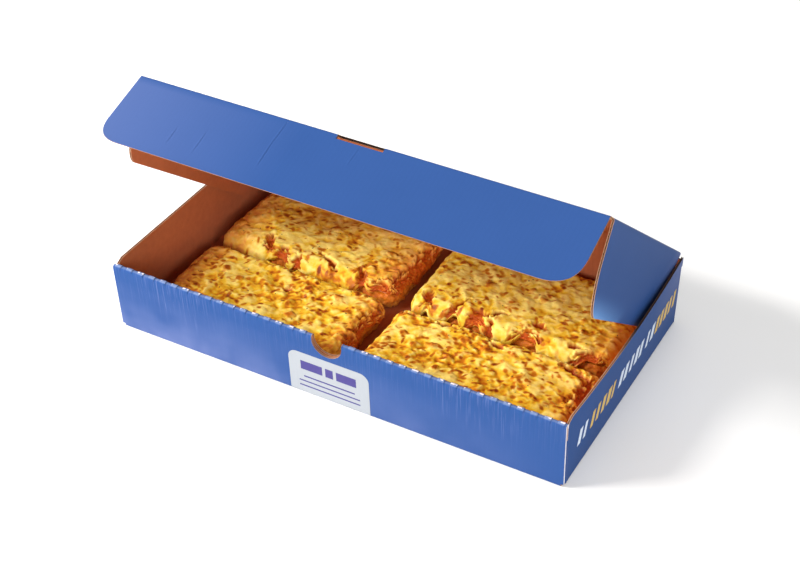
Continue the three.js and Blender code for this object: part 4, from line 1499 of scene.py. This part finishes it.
def cheese_relief(form, line_a, line_b, a, b, x, y, edge_share):
    """Height of the cheese over its sheet, and its tone, browned, bare and toasted shares.

    The toasted share is partly painted shade on the sides in shadow.
    """
    s = bpy.context.scene.box_pizza
    rng = form.rng
    steps = (line_a[1] - line_a[0], line_b[1] - line_b[0])
    warped_a = a + 1.3 * lattice_noise(a, b, 5, rng) + 0.6 * lattice_noise(a, b, 2.2, rng)
    warped_b = b + 1.3 * lattice_noise(a, b, 5, rng) + 0.6 * lattice_noise(a, b, 2.2, rng)
    sheet = (warped_a, warped_b, line_a, line_b, rng)
    rises = (0.4 * s.blob_height, s.blob_height)
    blobs, blob_tone = strokes(*sheet, s.blobs, (1.7, 3.6), rises, 4)
    rises = (0.5 * s.shred_height, s.shred_height)
    shreds, shred_tone = strokes(*sheet, s.shreds, (0.9, 1.7), rises, 5)
    cover = soften((shreds > 0.05) * (0.4 + 0.6 * shred_tone), steps, 0.55)
    patches = lattice_noise(a, b, 15, rng) + 0.65 * lattice_noise(a, b, 6.5, rng)
    # Paler patches, partly painted light on the rear slices.
    patches = np.tanh(1.7 * (patches + PALENESS_AND_LIGHT[form.name]))
    fused = 0.5 + 0.5 * patches
    relief = soften(blobs, steps, 0.9) * (1 - 0.65 * fused)
    relief = relief + soften(blobs, steps, 2.4) * 0.65 * fused
    relief = relief + soften(shreds, steps, 0.7) * (1 - 0.5 * fused)
    crumbs = lattice_noise(warped_a, warped_b, 1.9, rng)
    grain = 0.26 * crumbs + 0.2 * lattice_noise(warped_b, warped_a, 2.9, rng)
    relief = relief + (1 - 0.7 * fused) * grain
    relief = relief + 0.5 * lattice_noise(a, b, 6, rng) + 0.8 * lattice_noise(a, b, 17, rng)
    wobble = lattice_noise(a, b, 3.1, rng) + 0.6 * lattice_noise(a, b, 1.5, rng)
    bare = hollow_shares(form, x, y, wobble)
    ridge = np.clip((relief - soften(relief, steps, 2.2)) / 0.55, -1, 1)
    relief, brown = raise_bubbles(form, relief, x, y, wobble)
    brown = add_spots(form, brown, ridge, patches, x, y, wobble)
    tone = 0.36 + 0.22 * soften(blob_tone * (blobs > 0.05), steps, 0.7) + 0.28 * cover
    tone = tone + 0.34 * ridge * (1 - 0.5 * fused)
    tone = tone + np.where(patches > 0, 0.34, 0.2) * patches - 0.2 * edge_share
    tone = tone + (1 - 0.75 * fused) * (0.2 * lattice_noise(a, b, 3.4, rng) + 0.16 * crumbs)
    # Deeper baked sides, partly painted shade where the left wall and the lid shadow the slices.
    toasted, deep = baked_and_shaded_shares(form, x, y, wobble)
    return relief, np.clip(tone - deep, 0, 1), brown, bare, toasted


def build_cheese(form):
    """Melted cheese: a lumpy sheet that hangs over the slice's shoulder."""
    span = form.half - SHOULDER + SHEET_REACH
    spacing = bpy.context.scene.box_pizza.spacing
    columns, rows = (int(n) for n in np.ceil(2 * span / spacing))
    piece, i, j = add_grid(f"{form.name}_melted_cheese", columns, rows)
    count = len(i)
    rim = choose_rim(piece)
    bpy.ops.object.mode_set(mode="EDIT")
    for _ in RINGS:
        bpy.ops.mesh.extrude_region_move()
    bpy.ops.mesh.edge_face_add()
    bpy.ops.object.mode_set(mode="OBJECT")

    line_a = np.linspace(-span[0], span[0], columns + 1)
    line_b = np.linspace(-span[1], span[1], rows + 1)
    a, b = np.meshgrid(line_a, line_b, indexing="ij")
    inner = form.half - CORNER
    da, db = np.clip(np.abs(a) - inner[0], 0, None), np.clip(np.abs(b) - inner[1], 0, None)
    out = np.maximum(da, db)
    norm = np.maximum(np.hypot(da, db), 1e-9)
    ua, ub = np.sign(a) * da / norm, np.sign(b) * db / norm
    ca, cb = np.clip(a, -inner[0], inner[0]), np.clip(b, -inner[1], inner[1])
    far_x = form.centre[0] + ca + ua * CORNER
    far_y = form.centre[1] + cb + ub * CORNER
    hang = drape_length(form, far_x, far_y)
    along = np.clip(out - (CORNER - SHOULDER), 0, None) * hang / SHEET_REACH
    edge_share = np.clip(along / hang, 0, 1)
    place, normal = under_surface(form, ca, cb, ua, ub, out, along)
    relief, tone, brown, bare, toasted = cheese_relief(
        form, line_a, line_b, a, b, place[0], place[1], edge_share
    )
    base = form.cheese_top - SAUCE_TOP
    body = base * (1 - edge_share) + 2.6 * edge_share
    lip = np.sqrt(np.clip(1 - np.clip((edge_share - 0.84) / 0.16, 0, 1) ** 2, 0, 1))
    calm = 1 - 0.5 * np.clip(along / SHOULDER_ARC, 0, 1)
    whole = body + (relief - 0.9) * calm
    hollow = 1.3 + 0.9 * lattice_noise(a, b, 2.6, form.rng) + 0.35 * relief
    depth = np.maximum(0.35, (whole * (1 - bare) + np.minimum(hollow, whole) * bare) * lip)

    points = np.empty((len(piece.data.vertices), 3))
    top = [place[k][i, j] + depth[i, j] * normal[k][i, j] for k in range(3)]
    points[:count] = np.stack(top, axis=-1)
    ia, ja = i[rim], j[rim]
    values = [v[ia, ja] for v in (ca, cb, ua, ub, out)]
    for number, share in enumerate(RINGS):
        under, up = under_surface(form, *values, hang[ia, ja] * share)
        start = count + number * len(rim)
        ring = [under[k] + 0.25 * up[k] for k in range(3)]
        points[start:start + len(rim)] = np.stack(ring, axis=-1)
    place_points(piece, *points.T)
    for name, field in zip(CHEESE_FIELDS, (tone, brown, bare, toasted)):
        full = np.ones(len(piece.data.vertices))
        full[:count] = field[i, j]
        piece.data.attributes.new(name, "FLOAT", "POINT").data.foreach_set("value", full)
    edit(piece, bpy.ops.mesh.normals_make_consistent)
    bpy.ops.object.shade_smooth()
    return piece


def under_surface(form, ca, cb, ua, ub, out, along):
    """Places and normals on the slice under its cheese: its flat top, its shoulder and its side.

    A place is given by its nearest point inside the round corners, the direction outwards from
    there, how far out it lies on the flat top, and how far along the shoulder and the side.
    """
    on_top = np.minimum(out, CORNER - SHOULDER)
    angle = np.minimum(along, SHOULDER_ARC) / SHOULDER
    radius = on_top + SHOULDER * np.sin(angle)
    drop = SHOULDER * (1 - np.cos(angle)) + np.maximum(along - SHOULDER_ARC, 0)
    x = form.centre[0] + ca + ua * radius
    y = form.centre[1] + cb + ub * radius
    z = SLICE_FLOOR + (SAUCE_TOP + AIR) * form.height - drop * form.height
    normal = (ua * np.sin(angle), ub * np.sin(angle), np.cos(angle) + 0 * x)
    return (x, y, z), normal


def copy_node(node, name):
    """A welded copy of a CAD node's mesh as a new object."""
    start_piece()
    source = frame["nodes"][node]
    piece = bpy.data.objects.new(name, source.data.copy())
    piece.data.name = name
    bpy.context.scene.collection.objects.link(piece)
    piece.data.materials.clear()
    edit(piece, lambda: bpy.ops.mesh.remove_doubles(threshold=0.01 * MM))
    return piece


def roughen(piece, voxel, bumps):
    """Remeshes a piece finely and moves its surface in and out by bumps of a size and height."""
    modify(piece, "REMESH", mode="VOXEL", voxel_size=voxel * MM, adaptivity=0)
    for number, (size, height) in enumerate(bumps):
        texture = bpy.data.textures.new(f"{piece.name}_{number}", "CLOUDS")
        texture.noise_scale = size * MM
        texture.noise_depth = 1
        modify(
            piece, "DISPLACE", texture=texture, strength=height * MM, mid_level=0.5,
            texture_coords="LOCAL",
        )
    only(piece)
    bpy.ops.object.shade_smooth()


def food_mottle_group():
    """Two sizes of mottling over food: a colour between two, and the height of its fine bumps."""
    name = "Food Mottle"
    if name in bpy.data.node_groups:
        return bpy.data.node_groups[name]
    nodes, inputs, outputs = new_group(
        name,
        [
            ("First", "NodeSocketColor", (0.8, 0.6, 0.3, 1)),
            ("Second", "NodeSocketColor", (0.6, 0.3, 0.1, 1)),
            ("Size", "NodeSocketFloat", 4.0),
            ("Share", "NodeSocketFloat", 0.5),
        ],
        [("Colour", "NodeSocketColor"), ("Height", "NodeSocketFloat")],
    )
    scale = nodes.math("DIVIDE", 1.0, inputs.outputs["Size"])
    coarse = nodes.noise(nodes.coordinates(), scale, 3, 0.55)
    fine = nodes.noise(nodes.coordinates(), nodes.times(scale, 5.0), 3, 0.6)
    both = nodes.plus(nodes.times(coarse, 0.65), nodes.times(fine, 0.35))
    offset = nodes.minus(nodes.plus(both, inputs.outputs["Share"]), 0.5)
    share = nodes.ramp(offset, 0.35, 0.65)
    tint = nodes.blend(share, inputs.outputs["First"], inputs.outputs["Second"])
    nodes.put(outputs.inputs["Colour"], tint)
    nodes.put(outputs.inputs["Height"], both)
    return nodes.tree


def mottle(nodes, first, second, size, share):
    """The mottle group, placed with its values."""
    group = nodes.add("ShaderNodeGroup", node_tree=food_mottle_group())
    for socket, value in (("First", first), ("Second", second), ("Size", size), ("Share", share)):
        nodes.put(group.inputs[socket], value)
    return group


def cheese_material():
    """Cream and yellow cheese, stained by the sauce where it is thin, browned on its spots.

    Its deeper baked sides are partly painted shade.
    """
    s = bpy.context.scene.box_pizza
    material, nodes, shader = new_material("melted_cheese")
    tone, brown, bare, toasted = (nodes.attribute(name) for name in CHEESE_FIELDS)
    grain = nodes.noise(nodes.coordinates(), 0.45, 4, 0.6)
    shade = nodes.plus(tone, nodes.times(nodes.minus(grain, 0.5), 0.6))
    tint = nodes.blend(nodes.ramp(shade, 0.02, 0.26), s.amber, s.golden)
    tint = nodes.blend(nodes.ramp(shade, 0.26, 0.52), tint, s.yellow)
    tint = nodes.blend(nodes.ramp(shade, 0.55, 0.95), tint, s.cream)
    # Deeper baked sides, partly painted shade on the slices' left and rear sides.
    tint = nodes.blend(nodes.times(toasted, 0.8), tint, s.baked_and_shaded_side)
    toast = nodes.plus(brown, nodes.times(nodes.minus(grain, 0.5), 0.5))
    tint = nodes.blend(nodes.ramp(toast, 0.02, 0.5), tint, s.amber)
    tint = nodes.blend(nodes.ramp(toast, 0.5, 1.05), tint, s.toasted)
    wet = mottle(nodes, s.sauce_colour, s.thin_sauce, 2.4, 0.36)
    tint = nodes.blend(nodes.ramp(bare, 0.1, 0.8), tint, wet.outputs["Colour"])
    nodes.put(shader.inputs["Base Color"], tint)
    nodes.put(shader.inputs["Roughness"], nodes.plus(0.3, nodes.times(grain, 0.36)))
    shader.inputs["Specular IOR Level"].default_value = 0.16
    shader.inputs["Subsurface Weight"].default_value = 0.1
    shader.inputs["Subsurface Radius"].default_value = (0.003, 0.0016, 0.0005)
    shader.inputs["Subsurface Scale"].default_value = 1.0
    nodes.bump(shader, 0.4, 0.7, grain)
    return material


def herb_material():
    """Dried herbs, from olive to nearly black."""
    s = bpy.context.scene.box_pizza
    material, nodes, shader = new_material("dried_herbs")
    base = mottle(nodes, s.herb_colour, s.pepper, 3.0, 0.5)
    nodes.put(shader.inputs["Base Color"], base.outputs["Colour"])
    shader.inputs["Roughness"].default_value = 0.7
    return material


def sauce_material():
    """Glossy tomato sauce with lighter pulp."""
    s = bpy.context.scene.box_pizza
    material, nodes, shader = new_material("tomato_sauce")
    base = mottle(nodes, s.sauce_colour, s.pulp, 2.2, 0.42)
    nodes.put(shader.inputs["Base Color"], base.outputs["Colour"])
    shader.inputs["Roughness"].default_value = 0.28
    nodes.bump(shader, 0.5, 0.6, base.outputs["Height"])
    return material


def crust_material():
    """Baked dough: stained by the sauce near its top, golden with darker patches elsewhere."""
    s = bpy.context.scene.box_pizza
    material, nodes, shader = new_material("baked_dough")
    base = mottle(nodes, s.crust_colour, s.crust_dark, 4.0, 0.5)
    height = nodes.xyz()[2]
    ragged = nodes.noise(nodes.coordinates(), 0.25, 3)
    stain = nodes.ramp(nodes.plus(height, nodes.times(ragged, 12)), 9, 17)
    wet = mottle(nodes, s.stain, s.stain_dark, 2.4, 0.48)
    tint = nodes.blend(nodes.times(stain, 0.95), base.outputs["Colour"], wet.outputs["Colour"])
    nodes.put(shader.inputs["Base Color"], tint)
    shader.inputs["Roughness"].default_value = 0.5
    shader.inputs["Specular IOR Level"].default_value = 0.2
    nodes.bump(shader, 0.8, 1.2, base.outputs["Height"])
    return material


def slice_forms():
    """The four slices' forms, in order."""
    return [SliceForm(name, 41 + 10 * number) for number, name in enumerate(SLICES)]


# Operators ------------------------------------------------------------------------------------


class PIZZABOX_OT_tray(bpy.types.Operator):
    """Build the tray from corrugated board: floor, back wall, side walls and double front wall"""

    bl_idname = "pizzabox.tray"
    bl_label = "Tray"

    def execute(self, context):
        for piece in build_tray_shell() + build_side_wall(-1) + build_side_wall(1):
            smooth(piece)
            finish_piece(piece, "tray", node="tray")
        return {"FINISHED"}


class PIZZABOX_OT_lid(bpy.types.Operator):
    """Build the lid's panel and its two side flaps"""

    bl_idname = "pizzabox.lid"
    bl_label = "Lid"

    def execute(self, context):
        pieces = build_lid(), build_side_flap(-1), build_side_flap(1)
        for piece, node in zip(pieces, ("lid", "left_flap", "right_flap")):
            smooth(piece)
            finish_piece(piece, "lid", node=node)
        return {"FINISHED"}


class PIZZABOX_OT_front_flap(bpy.types.Operator):
    """Build the lid's front flap"""

    bl_idname = "pizzabox.front_flap"
    bl_label = "Front Flap"

    def execute(self, context):
        piece = build_front_flap()
        smooth(piece)
        finish_piece(piece, "front_flap", node="front_flap")
        return {"FINISHED"}


class PIZZABOX_OT_creases(bpy.types.Operator):
    """Build the creases between the back wall and the lid, and between the lid and its front flap
    """

    bl_idname = "pizzabox.creases"
    bl_label = "Creases"

    def execute(self, context):
        strip, near, far = build_hinge_strip()
        self.bend(strip, "tray", "lid", (0, *near), (0, *far))
        start = from_lid(0, -LID_DEPTH + 2, BOARD)
        end = flap_place(0, STRIP_IN_FLAP, 0)
        for strip in build_fold_strips():
            self.bend(strip, "lid", "front_flap", start, end)
        return {"FINISHED"}

    @staticmethod
    def bend(strip, first, second, start, end):
        smooth(strip)
        start, end = (tuple(v * MM for v in place) for place in (start, end))
        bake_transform(strip)


class PIZZABOX_OT_print(bpy.types.Operator):
    """Lay the plain printed fields on the front wall and on the right wall"""

    bl_idname = "pizzabox.print"
    bl_label = "Print"

    def execute(self, context):
        build_label()
        build_wall_bars()
        return {"FINISHED"}


class PIZZABOX_OT_crust(bpy.types.Operator):
    """Build the baked dough of the four slices"""

    bl_idname = "pizzabox.crust"
    bl_label = "Crusts"

    def execute(self, context):
        material = crust_material()
        for name in SLICES:
            piece = copy_node(f"{name}_crust", f"{name}_baked_dough")
            roughen(piece, 1.1, ((8, 2.6), (3.2, 2.6), (1.5, 1.2)))
            finish_piece(piece, "tray", material, f"{name}_crust")
        return {"FINISHED"}


class PIZZABOX_OT_sauce(bpy.types.Operator):
    """Build the tomato sauce of the four slices"""

    bl_idname = "pizzabox.sauce"
    bl_label = "Sauce"

    def execute(self, context):
        material = sauce_material()
        for name in SLICES:
            piece = copy_node(f"{name}_sauce", f"{name}_tomato_sauce")
            roughen(piece, 0.9, ((3.5, 0.7),))
            finish_piece(piece, "tray", material, f"{name}_sauce")
        return {"FINISHED"}


class PIZZABOX_OT_cheese(bpy.types.Operator):
    """Build the melted cheese of the four slices"""

    bl_idname = "pizzabox.cheese"
    bl_label = "Cheese"

    def execute(self, context):
        material = cheese_material()
        for form in slice_forms():
            piece = build_cheese(form)
            finish_piece(piece, "tray", material, f"{form.name}_cheese")
        return {"FINISHED"}


class PIZZABOX_OT_herbs(bpy.types.Operator):
    """Scatter flakes of dried herbs and pepper over the cheese of each slice"""

    bl_idname = "pizzabox.herbs"
    bl_label = "Herbs"

    def execute(self, context):
        start_piece()
        bpy.ops.mesh.primitive_ico_sphere_add(subdivisions=1, radius=MM)
        flake = context.object
        material = herb_material()
        for number, name in enumerate(SLICES):
            flakes = self.scatter(flake, bpy.data.objects[f"{name}_melted_cheese"], 71 + number)
            finish_piece(join(f"{name}_herb_flakes", flakes), "tray", material)
        bpy.data.objects.remove(flake)
        return {"FINISHED"}

    @staticmethod
    def scatter(flake, cheese, seed):
        rng = np.random.default_rng(seed)
        vertices = cheese.data.vertices
        places, normals = points_of(cheese), np.empty(3 * len(vertices))
        vertices.foreach_get("normal", normals)
        upward = np.flatnonzero((normals.reshape(-1, 3)[:, 2] > 0.8) & (places[:, 2] > 19 * MM))
        flakes = []
        for index in rng.choice(upward, bpy.context.scene.box_pizza.flakes, replace=False):
            size = rng.uniform(0.22, 0.55)
            size = size * np.array([rng.uniform(0.8, 2.0), rng.uniform(0.6, 1.1), 0.5])
            shape = Matrix.LocRotScale(
                Vector(places[index]), Matrix.Rotation(rng.uniform(0, math.pi), 3, "Z"),
                Vector(size),
            )
            copy = bpy.data.objects.new("flake", flake.data.copy())
            copy.data.transform(shape)
            bpy.context.scene.collection.objects.link(copy)
            flakes.append(copy)
        return flakes


FLOOR_SIZE = 12
FLOOR_Z = -0.0002
WORLD_STRENGTH = 0.33
SENSOR_WIDTH = 36

# Lights: name, place, target, width, power in watts and tint.
LIGHTS = (
    ("key_light", (-1.25, -1.15, 1.25), (0, 0, 0.05), 0.5, 34, (1.0, 0.97, 0.92)),
    ("left_light", (-1.6, -0.6, 0.5), (-0.1, 0, 0.05), 0.8, 50, (1.0, 0.98, 0.95)),
    ("front_light", (0.75, -1.45, 0.72), (0.05, 0, 0.02), 0.6, 12, (1.0, 0.97, 0.93)),
    ("right_light", (1.3, -0.9, 0.8), (0, 0, 0.02), 0.6, 8, (1.0, 0.99, 0.97)),
    ("top_light", (0.2, 0.3, 2.2), (0, 0, 0.05), 2.0, 16, (1.0, 1.0, 1.0)),
)


class PIZZABOX_OT_stage(bpy.types.Operator):
    """Set up the floor, the soft lights and the camera"""

    bl_idname = "pizzabox.stage"
    bl_label = "Stage"

    def execute(self, context):
        scene = context.scene
        s = scene.box_stage
        start_piece()
        bpy.ops.mesh.primitive_plane_add(size=FLOOR_SIZE, location=(0, 0, FLOOR_Z))
        floor = context.object
        floor.name = "floor"
        bpy.ops.object.transform_apply(location=True)
        material, nodes, shader = new_material("pale_floor")
        cloud = nodes.noise(nodes.coordinates(), 0.004, 2)
        tint = nodes.blend(nodes.times(cloud, 0.1), s.floor_colour, (0.8, 0.8, 0.8))
        nodes.put(shader.inputs["Base Color"], tint)
        shader.inputs["Roughness"].default_value = 0.9
        floor.data.materials.append(material)

        for light in LIGHTS:
            self.area_light(*light)

        world = bpy.data.worlds.new("studio")
        world.use_nodes = True
        background = next(n for n in world.node_tree.nodes if n.type == "BACKGROUND")
        background.inputs["Color"].default_value = (1, 1, 1, 1)
        background.inputs["Strength"].default_value = WORLD_STRENGTH
        scene.world = world
        scene.view_settings.view_transform = "Standard"

        camera = bpy.data.objects.new("camera", bpy.data.cameras.new("camera"))
        scene.collection.objects.link(camera)
        camera.data.lens = s.lens
        camera.data.sensor_width = SENSOR_WIDTH
        camera.data.clip_start = 0.05
        azimuth, elevation, roll = s.azimuth, s.elevation, s.roll
        ahead = Vector((
            -math.sin(azimuth) * math.cos(elevation), math.cos(azimuth) * math.cos(elevation),
            -math.sin(elevation),
        ))
        level = Vector((math.cos(azimuth), math.sin(azimuth), 0))
        right = level * math.cos(roll) + level.cross(ahead) * math.sin(roll)
        up = right.cross(ahead)
        turn = Matrix((right, up, -ahead)).transposed()
        camera.matrix_world = Matrix.Translation(Vector(s.camera_place)) @ turn.to_4x4()
        scene.camera = camera
        return {"FINISHED"}

    @staticmethod
    def area_light(name, place, target, size, power, tint):
        data = bpy.data.lights.new(name, "AREA")
        data.shape = "DISK"
        data.size = size
        data.energy = power
        data.color = tint
        light = bpy.data.objects.new(name, data)
        bpy.context.scene.collection.objects.link(light)
        light.location = place
        direction = Vector(target) - Vector(place)
        light.rotation_euler = direction.to_track_quat("-Z", "Y").to_euler()


OPERATORS = (
    PIZZABOX_OT_stage,
    PIZZABOX_OT_tray,
    PIZZABOX_OT_lid,
    PIZZABOX_OT_front_flap,
    PIZZABOX_OT_creases,
    PIZZABOX_OT_print,
    PIZZABOX_OT_crust,
    PIZZABOX_OT_sauce,
    PIZZABOX_OT_cheese,
    PIZZABOX_OT_herbs,
)


class PIZZABOX_PT_panel(bpy.types.Panel):
    """The sidebar panel that lists the settings and the pieces"""

    bl_label = "Pizza Box"
    bl_idname = "PIZZABOX_PT_panel"
    bl_space_type = "VIEW_3D"
    bl_region_type = "UI"
    bl_category = "Pizza Box"

    def draw(self, context):
        layout = self.layout
        for operator in OPERATORS:
            layout.operator(operator.bl_idname)
        for group_name, group in GROUPS.items():
            box = layout.box()
            for name in group.__annotations__:
                box.prop(getattr(context.scene, group_name), name)


GROUPS = {
    "box_board": BoardSettings,
    "box_print": PrintSettings,
    "box_pizza": PizzaSettings,
    "box_stage": StageSettings,
}


def register():
    """Adds the settings to the scene, and the operators and the panel to Blender."""
    for group_name, group in GROUPS.items():
        bpy.utils.register_class(group)
        setattr(bpy.types.Scene, group_name, bpy.props.PointerProperty(type=group))
    for operator in OPERATORS:
        bpy.utils.register_class(operator)
    bpy.utils.register_class(PIZZABOX_PT_panel)


def unregister():
    """Takes away all that register adds."""
    bpy.utils.unregister_class(PIZZABOX_PT_panel)
    for operator in reversed(OPERATORS):
        bpy.utils.unregister_class(operator)
    for group_name, group in reversed(GROUPS.items()):
        delattr(bpy.types.Scene, group_name)
        bpy.utils.unregister_class(group)


def main():
    """Builds every piece in order."""
    register()
    for operator in OPERATORS:
        category, name = operator.bl_idname.split(".")
        getattr(getattr(bpy.ops, category), name)()


if __name__ == "__main__":
    main()
